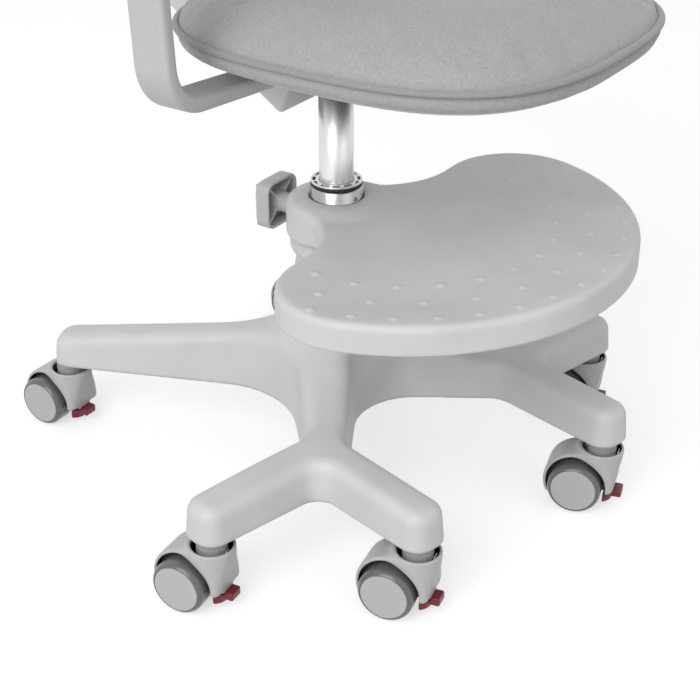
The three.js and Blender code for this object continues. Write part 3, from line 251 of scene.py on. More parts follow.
def turned(profile, segments=96, closed=False):
    """Points and quads of a profile of (radius, height) pairs turned about Z."""
    profile = np.asarray(profile, float)
    angles = np.arange(segments) * FULL_TURN / segments
    radius, height = profile[:, 0], profile[:, 1]
    points = np.stack([
        np.outer(radius, np.cos(angles)), np.outer(radius, np.sin(angles)),
        np.outer(height, np.ones(segments)),
    ], 2).reshape(-1, 3)
    rows = len(profile) if closed else len(profile) - 1
    faces = []
    for r in range(rows):
        a, b = r * segments, (r + 1) % len(profile) * segments
        for k in range(segments):
            n = (k + 1) % segments
            faces.append((a + k, a + n, b + n, b + k))
    return points, faces


def along(points, axis, offset=(0, 0, 0)):
    """Turns points made about Z so that they lie along +X, -X, +Y or -Y."""
    x, y, z = np.asarray(points, float).T
    turned_points = {
        "+x": (z, y, -x), "-x": (-z, y, x), "+y": (x, z, -y), "-y": (x, -z, y),
    }[axis]
    return np.stack(turned_points, 1) + np.array(offset, float)


def several(*parts):
    """Joins (points, faces, material index) parts into one list of points, faces and indices."""
    points, faces, slots, base = [], [], [], 0
    for part_points, part_faces, slot in parts:
        points.append(np.asarray(part_points, float))
        faces += [tuple(int(i) + base for i in face) for face in part_faces]
        slots += [slot] * len(part_faces)
        base += len(part_points)
    return np.concatenate(points), faces, slots


# ---- Star base ----

ARM_HALF, TIP_OVERHANG, REAR_OVERHANG, TIP_CORNER = 22, 20, 12, 18
UNDERSIDE, ARM_CROWN, HUB_TOP = 73, 112, 224
STEM_X, STEM_Y, SIDE_X, SIDE_Y, REAR_X, REAR_Y = 124, 245, 252, 118, 171, 232
BASE_WALL, CROWN_WALL_SHARE, DRAFT = 5, 1.6, 0.087
FRONT_BAY_POINT, FRONT_BAY_CORNER, SIDE_BAY_CORNER, SIDE_BAY_POINT, BAY_CORNER = 33, 130, 125, 47.8, 32
COLUMN_RADIUS, GAP = 25, 0.3


def base_outline():
    rear = np.array([REAR_X, REAR_Y]) / math.hypot(REAR_X, REAR_Y)
    near = np.array([rear[1], -rear[0]]) * ARM_HALF
    end = rear * (math.hypot(REAR_X, REAR_Y) + REAR_OVERHANG)
    right = [
        (0, -FRONT_BAY_POINT, 61),
        (STEM_X - ARM_HALF, -FRONT_BAY_CORNER, BAY_CORNER),
        (STEM_X - ARM_HALF, -STEM_Y - TIP_OVERHANG, TIP_CORNER),
        (STEM_X + ARM_HALF, -STEM_Y - TIP_OVERHANG, TIP_CORNER),
        (STEM_X + ARM_HALF, -SIDE_Y - ARM_HALF, 18),
        (SIDE_X + TIP_OVERHANG, -SIDE_Y - ARM_HALF, TIP_CORNER),
        (SIDE_X + TIP_OVERHANG, -SIDE_Y + ARM_HALF, TIP_CORNER),
        (SIDE_BAY_CORNER, ARM_HALF - SIDE_Y, BAY_CORNER),
        (*(near + rear * SIDE_BAY_POINT), 92),
        (*(end + near), TIP_CORNER),
        (*(end - near), TIP_CORNER),
        (0, -near[1] + near[0] / rear[0] * rear[1], 60),
    ]
    return rounded(right + [(-x, y, r) for x, y, r in right[-2:0:-1]])


def crown_height(x, y):
    away = np.hypot(x, y)
    front = np.clip(-y / np.maximum(away, 1), 0, 1)
    flare = (10 + 160 * front) * np.clip(1 - away / 150, 0, 1) ** 2
    return ARM_CROWN + (STEM_Y - away) * (0.03 + 0.1 * (1 - front) ** 2) + flare


base_plan = plan_distance(base_outline())


def base_body(x, y, z, wall):
    sides = base_plan(x, y) + DRAFT * (z - UNDERSIDE) + wall
    arms = common(sides, z - crown_height(x, y) + wall * CROWN_WALL_SHARE, 13)
    cone = np.hypot(x, y) - 39 - 17 * (HUB_TOP - z) / 118 + wall
    hub = common(common(cone, z - HUB_TOP + wall, 6), 104 - z + wall, 26)
    return join(arms, hub, 24)


def base_field(x, y, z):
    outer = common(base_body(x, y, z, 0), UNDERSIDE - z, 3)
    hollow = base_body(x, y, z, BASE_WALL)
    away = np.hypot(x, y)
    shell = cut(outer, hollow, 1)
    ribs = np.full(x.shape, 1e3)
    for s in (-1, 1):
        for line in ((0, 0, s * STEM_X, -SIDE_Y), (s * STEM_X, -SIDE_Y, s * STEM_X, -STEM_Y),
                     (s * STEM_X, -SIDE_Y, s * SIDE_X, -SIDE_Y), (0, 0, s * REAR_X, REAR_Y)):
            ribs = np.minimum(ribs, segment(x, y, *line) - 1.6)
    ribs = np.maximum(ribs, UNDERSIDE + 3 - z)
    inner = np.minimum(ribs, away - COLUMN_RADIUS - 8)
    for tip_x, tip_y, _ in ARM_TIPS.values():
        inner = np.minimum(inner, np.hypot(x - tip_x, y - tip_y) - 10.5)
    solid = join(shell, np.maximum(inner, outer + 3.6), 4)
    for tip_x, tip_y, _ in ARM_TIPS.values():
        bore = np.maximum(np.hypot(x - tip_x, y - tip_y) - 5.3, z - UNDERSIDE - 24)
        solid = np.maximum(solid, -bore)
    return np.maximum(solid, -np.maximum(away - COLUMN_RADIUS - GAP, UNDERSIDE + 4 - z))


# ---- Footrest ----

PLATE_TOP, PLATE_BOTTOM, PLATE_X, PLATE_RADIUS, END_RADIUS, PLATE_BACK = 279, 251, 73, 220, 73, 46
BOSS_RADIUS, BOSS_TOP, BOSS_BOTTOM, NECK = 45, 282, 226, 80
BUMPS = ((205, 9.93, 17), (174, 14.8, 12), (143, 14.85, 13))
BUMP_RADIUS, BUMP_RISE = 4.5, 1.8


def footrest_outline():
    reach = PLATE_RADIUS - END_RADIUS
    span = math.acos((PLATE_BACK + END_RADIUS - PLATE_X) / reach)
    end = PLATE_X + reach * math.cos(span), reach * math.sin(span)
    neck_x = PLATE_BACK - NECK
    neck_y = math.sqrt((BOSS_RADIUS + NECK) ** 2 - neck_x ** 2)
    neck_end = math.atan2(neck_y, neck_x)
    return np.concatenate([
        arc(PLATE_X, 0, PLATE_RADIUS, -span, span),
        arc(*end, END_RADIUS, span, math.pi),
        arc(neck_x, neck_y, NECK, 0, neck_end - math.pi),
        arc(0, 0, BOSS_RADIUS, neck_end, FULL_TURN - neck_end),
        arc(neck_x, -neck_y, NECK, math.pi - neck_end, 0),
        arc(end[0], -end[1], END_RADIUS, math.pi, FULL_TURN - span),
    ])


plate_plan = plan_distance(footrest_outline())
bump_places = [
    (PLATE_X + radius * math.cos(a), radius * math.sin(a))
    for radius, step, count in BUMPS
    for a in (math.radians((k - (count - 1) / 2) * step) for k in range(count))
]


def plate_top(x, y):
    """The plate is dished a little between its rim and the boss."""
    depth = np.clip(-plate_plan(x, y) / 60, 0, 1)
    return PLATE_TOP - 2.5 * depth * depth * (3 - 2 * depth)


def footrest_field(x, y, z):
    away = np.hypot(x, y)
    edge = plate_plan(x, y)
    top = z - plate_top(x, y)
    rise = np.zeros(x.shape)
    for bump_x, bump_y in bump_places:
        rise = np.maximum(rise, BUMP_RISE * (1 - ((x - bump_x) ** 2 + (y - bump_y) ** 2) / BUMP_RADIUS ** 2))
    plate = common(edge, top - rise, 8)
    plate = common(plate, PLATE_BOTTOM - z, 2)
    hollow = common(edge + 3.5, top + 3.5, 8)
    shell = cut(plate, hollow, 1)
    ribs = np.full(x.shape, 1e3)
    for degrees in range(-75, 76, 25):
        a = math.radians(degrees)
        ribs = np.minimum(ribs, segment(x, y, 0, 0, 300 * math.cos(a), 300 * math.sin(a)) - 1.25)
    ribs = np.maximum(np.maximum(ribs, PLATE_BOTTOM + 3 - z), plate + 2.2)
    boss = common(common(away - BOSS_RADIUS, z - BOSS_TOP, 17), BOSS_BOTTOM - z, 10)
    solid = join(join(shell, ribs, 2), boss, 14)
    solid = np.maximum(solid, -np.maximum(away - COLUMN_RADIUS - 1.5, -1 - z))
    lower = np.maximum(away - COLUMN_RADIUS - 4, z - BOSS_TOP + 6)
    clamp = np.maximum(np.hypot(y, z - KNOB_Z) - 7.3, x + 20)
    return np.maximum(np.maximum(solid, -lower), -clamp)


# ---- Clamp knob, made with its shaft along Z and its face up ----

KNOB_Z, KNOB_RIM, KNOB_FACE, KNOB_HALF = 261, 64, 81, 24


def rounded_square(x, y, half, corner):
    dx, dy = np.abs(x) - half + corner, np.abs(y) - half + corner
    return np.hypot(np.maximum(dx, 0), np.maximum(dy, 0)) + np.minimum(np.maximum(dx, dy), 0) - corner


def knob_field(x, y, z):
    away = np.hypot(x, y)
    outer = rounded_square(x, y, KNOB_HALF, 11)
    shell = np.maximum(common(outer, z - KNOB_FACE, 6), KNOB_RIM - z)
    shell = cut(shell, np.maximum(outer + 3, z - KNOB_FACE + 3), 1)
    ribs = np.minimum(np.abs(x - y), np.abs(x + y)) / math.sqrt(2) - 1
    ribs = np.maximum(np.maximum(ribs, outer), between(z, KNOB_RIM + 2, KNOB_FACE - 1))
    hub = np.maximum(away - 10, between(z, KNOB_RIM - 12, KNOB_FACE - 1))
    return np.maximum(join(join(shell, ribs, 2), hub, 3), -np.maximum(away - 4.3, z - KNOB_FACE + 3))


# ---- Castor hood, with the swivel axis at the origin and the nose along +X ----

TRAIL, WHEEL_RADIUS, WHEEL_INNER, WHEEL_OUTER, DISC_RADIUS = 20, 26, 8.3, 30.9, 22
HOOD_RADIUS, HOOD_TOP, HOOD_BOTTOM, HOOD_TOE, TOE_TOP, WEB_BOTTOM, WEB_HALF = 21.5, 63, 21, 13.5, 54, 17, 7.7
FENDER_RADIUS, POCKET_RADIUS, FENDER_HALF, FENDER_BOTTOM, CUP_RADIUS, CUP_FLOOR = 32.6, 29.4, 18, 11, 18.9, 49


def hood_field(x, y, z):
    axle = np.hypot(x + TRAIL, z - WHEEL_RADIUS)
    away = np.hypot(x, y)
    lean = (HOOD_RADIUS - HOOD_TOE) / (TOE_TOP - HOOD_BOTTOM)
    toe = (x - HOOD_TOE - lean * (z - HOOD_BOTTOM)) / math.hypot(1, lean)
    nose = common(common(away - HOOD_RADIUS, toe, 3), z - HOOD_TOP, 2.2)
    fender = common(axle - FENDER_RADIUS, np.abs(y) - FENDER_HALF, 4)
    hood = join(nose, fender, 11)
    low = np.where(x < 0, FENDER_BOTTOM, np.where(np.abs(y) < WEB_HALF, WEB_BOTTOM, HOOD_BOTTOM))
    hood = common(hood, low - z, 3)
    hood = cut(hood, np.maximum(axle - POCKET_RADIUS, WEB_HALF - np.abs(y)), 1.2)
    hood = cut(hood, np.maximum(away - CUP_RADIUS, CUP_FLOOR - z), 1.4)
    stem = np.maximum(away - 5.3, 25.7 - z)
    slot = np.maximum(np.maximum(between(x, 4.8, 12.4), np.abs(y) - 3.5), z - 25.4)
    return np.maximum(np.maximum(hood, -stem), np.maximum(-slot, 3.3 - axle))


def hood_painted_shade_slots(points, faces):
    """Painted shade: black on the faces that line the cup and the wheel pocket, where deep shadow falls, and the
    hood's own plastic elsewhere.
    """
    x, y, z = points[faces].mean(1).T
    axle = np.hypot(x + TRAIL, z - WHEEL_RADIUS)
    # Painted shade: these masks pick the faces inside the cup and round the wheel pocket, which lie in deep shadow.
    cup = (np.hypot(x, y) < CUP_RADIUS + 0.08) & (z > CUP_FLOOR - 1) & (z < HOOD_TOP - 1)
    shaded_wheel_pocket = (axle < POCKET_RADIUS + 0.3) & (np.abs(y) < FENDER_HALF - 1.5)
    return (cup | shaded_wheel_pocket).astype(int)


# ---- Finishes ----

def linear(grey):
    """Linear value of an sRGB grey given from 0 to 255."""
    share = grey / 255
    return share / 12.92 if share <= 0.04045 else ((share + 0.055) / 1.055) ** 2.4


def tone(colour, gain=1.0):
    return (*[min(1.0, linear(c) * gain) for c in colour], 1.0)


class Nodes:
    """A material's node tree, with short ways to add and link nodes."""

    def __init__(self, name):
        self.material = bpy.data.materials.new(name)
        self.material.use_nodes = True
        self.tree = self.material.node_tree
        self.shader = self.tree.nodes["Principled BSDF"]
        self.place = self.add("ShaderNodeTexCoord").outputs["Object"]

    def add(self, kind, **settings):
        node = self.tree.nodes.new(kind)
        for key, value in settings.items():
            setattr(node, key, value)
        return node

    def link(self, source, target):
        self.tree.links.new(source, target)

    def noise(self, per_metre, detail=3, stretch=(1, 1, 1)):
        scaled = self.add("ShaderNodeMapping")
        scaled.inputs["Scale"].default_value = stretch
        self.link(self.place, scaled.inputs["Vector"])
        noise = self.add("ShaderNodeTexNoise")
        noise.inputs["Scale"].default_value = per_metre
        noise.inputs["Detail"].default_value = detail
        self.link(scaled.outputs["Vector"], noise.inputs["Vector"])
        return noise.outputs["Fac"]

    def ramp(self, source, stops):
        """Maps a value through (position, grey or colour) stops."""
        ramp = self.add("ShaderNodeValToRGB")
        elements = ramp.color_ramp.elements
        while len(elements) < len(stops):
            elements.new(0.5)
        for element, (position, value) in zip(elements, stops):
            element.position = position
            element.color = value if isinstance(value, tuple) else (value, value, value, 1)
        self.link(source, ramp.inputs["Fac"])
        return ramp.outputs["Color"]

    def mix(self, share, a, b, kind="MIX"):
        mix = self.add("ShaderNodeMix", data_type="RGBA", blend_type=kind)
        for socket, value in (("Factor", share), ("A", a), ("B", b)):
            target = next(s for s in mix.inputs if s.name == socket and (socket == "Factor" or s.type == "RGBA"))
            if isinstance(value, bpy.types.NodeSocket):
                self.link(value, target)
            else:
                target.default_value = value
        return next(s for s in mix.outputs if s.type == "RGBA")

    def bump(self, height, metres, strength=1.0, normal=None):
        bump = self.add("ShaderNodeBump")
        bump.inputs["Strength"].default_value = strength
        bump.inputs["Distance"].default_value = metres
        self.link(height, bump.inputs["Height"])
        if normal is not None:
            self.link(normal, bump.inputs["Normal"])
        return bump.outputs["Normal"]


def plastic(name, grey, roughness=0.5, grain=0.00003, grain_per_metre=2600, spread=0.05, specular=0.5, coat=0.0,
            wear=0.12):
    """Moulded plastic: faint cloudy shade, fine spark-eroded grain, edges polished lighter."""
    nodes = Nodes(name)
    colour = grey if isinstance(grey, tuple) else (grey, grey, grey)
    cloud = nodes.ramp(nodes.noise(14, 4), [(0.3, tone(colour, 1 - spread)), (0.7, tone(colour, 1 + spread))])
    edges = nodes.ramp(nodes.add("ShaderNodeNewGeometry").outputs["Pointiness"], [(0.52, 0.0), (0.6, wear)])
    nodes.link(nodes.mix(edges, cloud, tone(colour, 1.25)), nodes.shader.inputs["Base Color"])
    rough = nodes.ramp(nodes.noise(900, 2), [(0.35, roughness - 0.05), (0.65, roughness + 0.05)])
    nodes.link(rough, nodes.shader.inputs["Roughness"])
    nodes.link(nodes.bump(nodes.noise(grain_per_metre, 2), grain), nodes.shader.inputs["Normal"])
    nodes.shader.inputs["Specular IOR Level"].default_value = specular
    nodes.shader.inputs["Coat Weight"].default_value = coat
    nodes.shader.inputs["Coat Roughness"].default_value = 0.2
    return nodes.material


def metal(name, colour, roughness, brush=(1, 1, 0.02), spread=0.04):
    """Polished or brushed metal with fine drawn lines and a little dulling."""
    nodes = Nodes(name)
    tint = nodes.ramp(nodes.noise(20, 3), [(0.3, tone(colour, 1 - spread)), (0.7, tone(colour, 1 + spread))])
    nodes.link(tint, nodes.shader.inputs["Base Color"])
    lines = nodes.noise(1400, 3, brush)
    rough = nodes.ramp(lines, [(0.3, max(0.02, roughness - 0.05)), (0.7, roughness + 0.06)])
    nodes.link(rough, nodes.shader.inputs["Roughness"])
    nodes.link(nodes.bump(lines, 0.000004), nodes.shader.inputs["Normal"])
    nodes.shader.inputs["Metallic"].default_value = 1.0
    return nodes.material


def cloth(name, grey, thread=0.0016):
    """Close knit: round stitches in faint rows along and across, with fuzz and a mottled yarn."""
    nodes = Nodes(name)
    colour = (grey, grey, grey)
    stitch = nodes.add("ShaderNodeTexVoronoi")
    stitch.inputs["Scale"].default_value = 1 / thread
    stitch.inputs["Randomness"].default_value = 0.75
    nodes.link(nodes.place, stitch.inputs["Vector"])
    stitch = nodes.ramp(stitch.outputs["Distance"], [(0.1, 1.0), (0.75, 0.0)])
    rows = nodes.mix(0.5, nodes.noise(700, 2, (0.06, 1, 1)), nodes.noise(700, 2, (1, 0.06, 1)))
    weave = nodes.mix(0.35, stitch, rows)
    yarn = nodes.ramp(nodes.noise(420, 4), [(0.3, tone(colour, 0.86)), (0.7, tone(colour, 1.12))])
    shade = nodes.ramp(weave, [(0.2, tone(colour, 0.8)), (0.7, tone(colour, 1.1))])
    nodes.link(nodes.mix(0.5, yarn, shade), nodes.shader.inputs["Base Color"])
    fuzz = nodes.bump(nodes.noise(1500, 3), 0.0002, 0.5)
    nodes.link(nodes.bump(weave, 0.0004, 0.7, fuzz), nodes.shader.inputs["Normal"])
    nodes.shader.inputs["Roughness"].default_value = 0.92
    nodes.shader.inputs["Sheen Weight"].default_value = 0.4
    nodes.shader.inputs["Sheen Roughness"].default_value = 0.5
    return nodes.material


NYLON = plastic("nylon", 212, 0.5)
HOOD = plastic("hood", 190, 0.42, grain=0.00002)
TYRE = plastic("tyre", 98, 0.3, grain=0.00001, coat=0.35)
DISC = plastic("disc", 186, 0.42, grain=0.00001)
BLACK = plastic("black", 34, 0.5)
COLLAR_GREY = plastic("collar_grey", 168, 0.4, grain=0.00001)
RED = plastic("red", (116, 8, 40), 0.38, grain=0.00001, coat=0.1)
CHROME = metal("chrome", (226, 226, 228), 0.36)
SATIN = metal("satin", (170, 170, 172), 0.24)
STEEL = metal("steel", (150, 150, 152), 0.32)
BRASS = metal("brass", (190, 160, 96), 0.3)
FABRIC = cloth("fabric", 172)
WELT = cloth("welt", 158, 0.001)


# ---- Pieces: base and footrest ----

points, faces = surface(base_field, (-280, -273, 69), (280, 264, 229), 2.8)
piece("base_shell", mesh_of("base_shell", points, faces, [NYLON]), "base", ["star_base"])

points, faces = surface(footrest_field, (-50, -217, 222), (297, 217, 286), 1.6)
plate_mesh = mesh_of("foot_plate", upper(points), faces, [NYLON])
piece("foot_plate", plate_mesh, "footrest", ["footrest_plate"])

points, faces = surface(knob_field, (-26, -26, 50), (26, 26, 83), 0.9)
knob_mesh = mesh_of("knob_shell", upper(along(points, "-x", (0, 0, KNOB_Z))), faces, [HOOD])
piece("knob_shell", knob_mesh, "clamp_knob", ["clamp_knob"])


# ---- Pieces: column and lift ----

COLUMN_TOP, SLOTS = 300, 12
SLOT_STEP = FULL_TURN / SLOTS
SLOT_PHASE = math.radians(18.5)

tube = [(5.3, 77.3), (25, 77.3), (25, 292.6), (24.7, 292.9), (24.7, 294.7), (22, 294.7), (22, 81.3), (5.3, 81.3)]
points, faces = turned(tube, 128, closed=True)
tube_mesh = mesh_of("column_collar", points, faces, [SATIN])
piece("column_collar", tube_mesh, "base", ["column_tube"])


def in_slot(radius, angle):
    """Whether a place on the ring lies in one of its slots, each two thirds of a step long."""
    off_centre = abs(((angle - SLOT_PHASE) / SLOT_STEP + 0.5) % 1 - 0.5)
    return off_centre < 1 / 3 and 19.9 < radius < 22.8


def slotted_ring():
    """Black sleeve under a bright ring with sunken slots."""
    segments = SLOTS * 18
    top = [(16.8, COLUMN_TOP - 0.6), (17.4, COLUMN_TOP), (19.7, COLUMN_TOP), (20, COLUMN_TOP), (22.7, COLUMN_TOP),
           (23, COLUMN_TOP), (24.6, COLUMN_TOP), (25, COLUMN_TOP - 0.4)]
    side = [(25, 298.7), (24.6, 298.5), (24.9, 298.2), (24.9, 295), (21.7, 295), (21.7, 235), (16.8, 235)]
    profile = top + side
    points, faces, slots = [], [], []
    for k in range(segments):
        angle = k * FULL_TURN / segments
        for radius, z in profile:
            low = 1.6 if in_slot(radius, angle) and z == COLUMN_TOP else 0
            points.append((radius * math.cos(angle), radius * math.sin(angle), z - low))
    row = len(profile)
    for k in range(segments):
        a, b = k * row, (k + 1) % segments * row
        middle = (k + 0.5) * FULL_TURN / segments
        for i in range(row):
            j = (i + 1) % row
            faces.append((a + j, b + j, b + i, a + i))
            slotted = i < len(top) - 1 and in_slot((profile[i][0] + profile[j][0]) / 2, middle)
            slots.append(1 if i < len(top) and not slotted else 0)
    return points, faces, slots


points, faces, slots = slotted_ring()
piece("column_ring", mesh_of("column_ring", points, faces, [BLACK, CHROME], slots), "base", ["column_bush"])

lift = [(5.3, 190), (16.5, 190), (16.5, 412.7), (4.3, 412.7), (4.3, 390.7), (5.3, 345)]
points, faces = turned(lift, 128, closed=True)
piece("lift_tube", mesh_of("lift_tube", points, faces, [CHROME]), "lift", ["lift_cylinder"])


# ---- Pieces: castors ----

def bevelled(corners, radius):
    """Profile of (radius, height) corners, open at both ends, with the inner ones rounded."""
    last = len(corners) - 1
    ends = [(x, y, 0 if i in (0, last) else r) for i, (x, y, r) in enumerate(corners)]
    return rounded(ends, closed=False, chord=radius)


def wheel_parts(side):
    groove = DISC_RADIUS, WHEEL_OUTER - 0.9
    tyre = bevelled([(3.3, WHEEL_INNER, 0), (WHEEL_RADIUS - 0.4, WHEEL_INNER, 2), (WHEEL_RADIUS, WHEEL_OUTER - 2.5, 6),
                     (DISC_RADIUS + 0.3, WHEEL_OUTER + 0.1, 0.5), (*groove, 0)], 0.5)
    disc = bevelled([(*groove, 0), (DISC_RADIUS - 0.3, WHEEL_OUTER - 0.1, 0.3), (0, WHEEL_OUTER, 0)], 0.3)
    back = [(0, 26.3), (3.3, 26.3), (3.3, WHEEL_INNER)]
    made = []
    for profile, slot in ((tyre, 0), (disc, 1), (back, 0)):
        points, faces = turned(profile, 96)
        points = along(points, "+y" if side > 0 else "-y", (-TRAIL, 0, WHEEL_RADIUS))
        made.append((points, faces, slot))
    return several(*made)


def stem_parts():
    """Steel pin, and round it the ringed collar that fills the hood's cup."""
    pin = bevelled([(0, 26, 0), (5, 26, 0.6), (5, 54, 0)], 0.4)
    collar = [(5, 54, 0), (14, 54, 0.8)]
    for ring_z in (59.5, 65):
        collar += [(14, ring_z - 0.5, 0.2), (13.2, ring_z, 0.2), (14, ring_z + 0.5, 0.2)]
    collar = bevelled(collar + [(14, 72.7, 0.6), (5, 72.7, 0)], 0.3)
    plug = bevelled([(5, 72.7, 0), (5, 97, 0.8), (0, 97, 0)], 0.4)
    return several(*((*turned(profile, 64), slot) for profile, slot in ((pin, 0), (collar, 1), (plug, 0))))


def clip_parts(radius=16.6, half=math.radians(14), wall=0.45, low=CUP_FLOOR, high=62, steps=10):
    """Bent spring clip that stands up from the cup's floor beside the collar."""
    rows = []
    for k in range(steps + 1):
        angle = half * (2 * k / steps - 1)
        top = high - 2.2 * (abs(2 * k / steps - 1)) ** 4
        for r, z in ((radius - wall, low), (radius + wall, low), (radius + wall, top - 0.3),
                     (radius + wall / 2, top), (radius - wall / 2, top), (radius - wall, top - 0.3)):
            rows.append((r * math.cos(angle), r * math.sin(angle), z))
    loop = 6
    faces = [tuple(range(loop))[::-1], tuple(range(steps * loop, steps * loop + loop))]
    for k in range(steps):
        for i in range(loop):
            a, b = k * loop + i, k * loop + (i + 1) % loop
            faces.append((a, b, b + loop, a + loop))
    return rows, faces


def brake_field(x, y, z):
    block = common(np.hypot(x, y) - 14, between(z, 6, 15.8), 2.4)
    block = common(block, 6 - x, 1)
    tab = soft_box(x, y, z, (11, -7.5, 11.5), (23.5, 7.5, 20), 1.8)
    tab = common(tab, np.minimum(15 - x, z - 15.8), 0.8)
    neck = soft_box(x, y, z, (6.1, -3.2, 9), (11.2, 3.2, 24.2), 0.8)
    pin = np.maximum(np.hypot(x - 8, z - 21) - 1.8, np.abs(y) - 6)
    return np.minimum(join(join(block, tab, 3), neck, 1), pin)


points, faces = surface(hood_field, (-56, -30, 9), (25, 30, 65), 1)
# The hood's second, black slot is painted shade inside the cup and the wheel pocket.
hood_mesh = mesh_of("castor_hood", points, faces, [HOOD, BLACK], hood_painted_shade_slots(points, faces))
points, faces = surface(brake_field, (3, -16, 5), (28, 16, 26), 0.8)
brake_mesh = mesh_of("castor_brake", points, faces, [RED])
points, faces, slots = stem_parts()
stem_mesh = mesh_of("castor_stem", points, faces, [STEEL, COLLAR_GREY], slots)
clip_mesh = mesh_of("castor_clip", *clip_parts(), [CHROME])
wheel_meshes = {}
for letter, side in (("a", 1), ("b", -1)):
    points, faces, slots = wheel_parts(side)
    wheel_meshes[letter] = mesh_of(f"castor_wheel_{letter}", points, faces, [TYRE, DISC], slots)

for name, (tip_x, tip_y, heading) in ARM_TIPS.items():
    placed = Matrix.Translation((tip_x * MM, tip_y * MM, 0)) @ Matrix.Rotation(math.radians(heading) + math.pi, 4, "Z")
    piece(f"hood_{name}", hood_mesh, f"castor_{name}", [f"castor_hood_{name}"], placed)
    piece(f"brake_pedal_{name}", brake_mesh, f"brake_{name}", [f"castor_brake_{name}"], placed)
    piece(f"stem_{name}", stem_mesh, "base", [f"castor_stem_{name}"], placed)
    piece(f"cup_clip_{name}", clip_mesh, f"castor_{name}", (), placed)
    for letter, mesh in wheel_meshes.items():
        piece(f"tyre_{name}_{letter}", mesh, f"wheel_{name}_{letter}", [f"castor_wheel_{name}_{letter}"], placed)


# ---- Seat, armrests and back, with the front along +X ----

SEAT_BACK, SEAT_FRONT, SEAT_HALF = -108, 287, 190
CUSHION_BOTTOM, CUSHION_RISE, FRONT_FALL = 452, 58, 12
MECHANISM_TOP = 435.7


def soft_plan(x0, x1, half, power=2.8, count=160):
    """Rounded plan of a cushion, as a distance field."""
    angles = (np.arange(count) + 0.5) * FULL_TURN / count
    shape = [np.sign(f) * np.abs(f) ** (2 / power) for f in (np.cos(angles), np.sin(angles))]
    return plan_distance(np.stack([(x0 + x1) / 2 + (x1 - x0) / 2 * shape[0], half * shape[1]], 1), step=3)


def pan_field(x, y, z):
    edge = pan_plan(x, y)
    sides = np.maximum(edge, (edge + 3.2 * (448 - z)) / 3.4)
    return common(common(sides, z - 451.7, 2), 436 - z, 5)


def cushion_top(x, y):
    depth = np.clip(-seat_plan(x, y) / 110, 0, 1)
    fall = FRONT_FALL * np.clip(x / SEAT_FRONT, 0, 1) ** 3
    return CUSHION_BOTTOM + CUSHION_RISE - 9 * (1 - depth) ** 2 - fall


def seat_field(x, y, z):
    edge = seat_plan(x, y) + 1
    return common(common(edge, z - cushion_top(x, y), 46), CUSHION_BOTTOM - z, 16)


def seat_welt_field(x, y, z):
    return np.hypot(seat_field(x, y, z), z - WELT_Z) - 2.4


WELT_Z = 472
pan_plan = soft_plan(-84, 263, 166)
seat_plan = soft_plan(SEAT_BACK, SEAT_FRONT, SEAT_HALF)


def mechanism_field(x, y, z):
    sides = np.hypot(np.maximum(np.abs(x - 20) - 74, 0), np.maximum(np.abs(y) - 39, 0))
    sides = sides + np.minimum(np.maximum(np.abs(x - 20) - 74, np.abs(y) - 39), 0) - 16
    lean = (sides + 416 - z) / math.sqrt(2)
    tray = np.maximum(common(common(sides, lean, 3), 408 - z, 3), z - MECHANISM_TOP)
    hollow = np.maximum(np.maximum(sides + 3, lean + 3), 411 - z)
    away = np.hypot(x, y)
    socket = np.maximum(away - 20.5, between(z, 396, 414.8))
    solid = join(cut(tray, hollow, 1), socket, 4)
    solid = np.maximum(solid, -np.maximum(away - 16.8, z - 413))
    lever = np.maximum(np.hypot(x - 24, z - 424) - 4.8, -y)
    return np.maximum(np.maximum(solid, -(away - 4.8)), -lever)


def lever_field(x, y, z):
    stem = np.maximum(np.hypot(x - 24, z - 424) - 4, between(y, 0, 172))
    tongue = soft_box(x, y, z, (-6, -6, 421), (24, 6, 427), 1)
    paddle = soft_box(x, y, z - 0.00045 * (y - 197) ** 2, (12, 166, 419.5), (36, 228, 428.5), 4)
    return join(np.minimum(stem, tongue), paddle, 6)


bracket_profile = plan_distance(rounded([
    (55.3, 416, 3), (240, 430, 47), (252, 654.7, 3), (239, 654.7, 3), (227, 443, 34), (55.3, 429, 3),
]), step=1)


def bracket_field(x, y, z):
    return common(bracket_profile(np.abs(y), z), np.abs(x + 10) - 18, 5)


def pad_field(x, y, z):
    dx, dy = np.abs(x - 30) - 91, np.abs(np.abs(y) - 245.5) - 3
    plan = np.hypot(np.maximum(dx, 0), np.maximum(dy, 0)) + np.minimum(np.maximum(dx, dy), 0) - 24
    top = 679 - 2.5 * np.clip(1 + plan / 27, 0, 1) ** 2
    return common(common(plan, z - top, 14), 655 - z, 6)


CARRIER_SLOPE = math.tan(math.radians(33))


def carrier_corners():
    under = lambda x: 367 + (-35 - x) * CARRIER_SLOPE
    nose = -35 + (407.7 - 367) / math.tan(math.radians(69))
    return [
        (nose, 407.7, 2), (-70.3, 407.7, 2), (-70.3, under(-70.3) + 29, 2), (-191, under(-191) + 29, 15),
        (-191, under(-191) + 58, 4), (-215, under(-191) + 58, 4), (-215, under(-215), 30), (-35, 367, 4),
    ]


carrier_profile = plan_distance(rounded(carrier_corners()), step=1)


def carrier_field(x, y, z):
    foot = common(carrier_profile(x, z), np.abs(y) - 40, 6)
    upright = soft_box(x, y, z, (-215, -30, 480), (-191, 30, 705), 3)
    return np.maximum(join(foot, upright, 16), -(np.hypot(x, y) - 24.5))


BACK_LOW, BACK_HIGH, BACK_HALF, BACK_BEND = 560, 905, 185, 34
back_plan = soft_plan(BACK_LOW, BACK_HIGH, BACK_HALF)


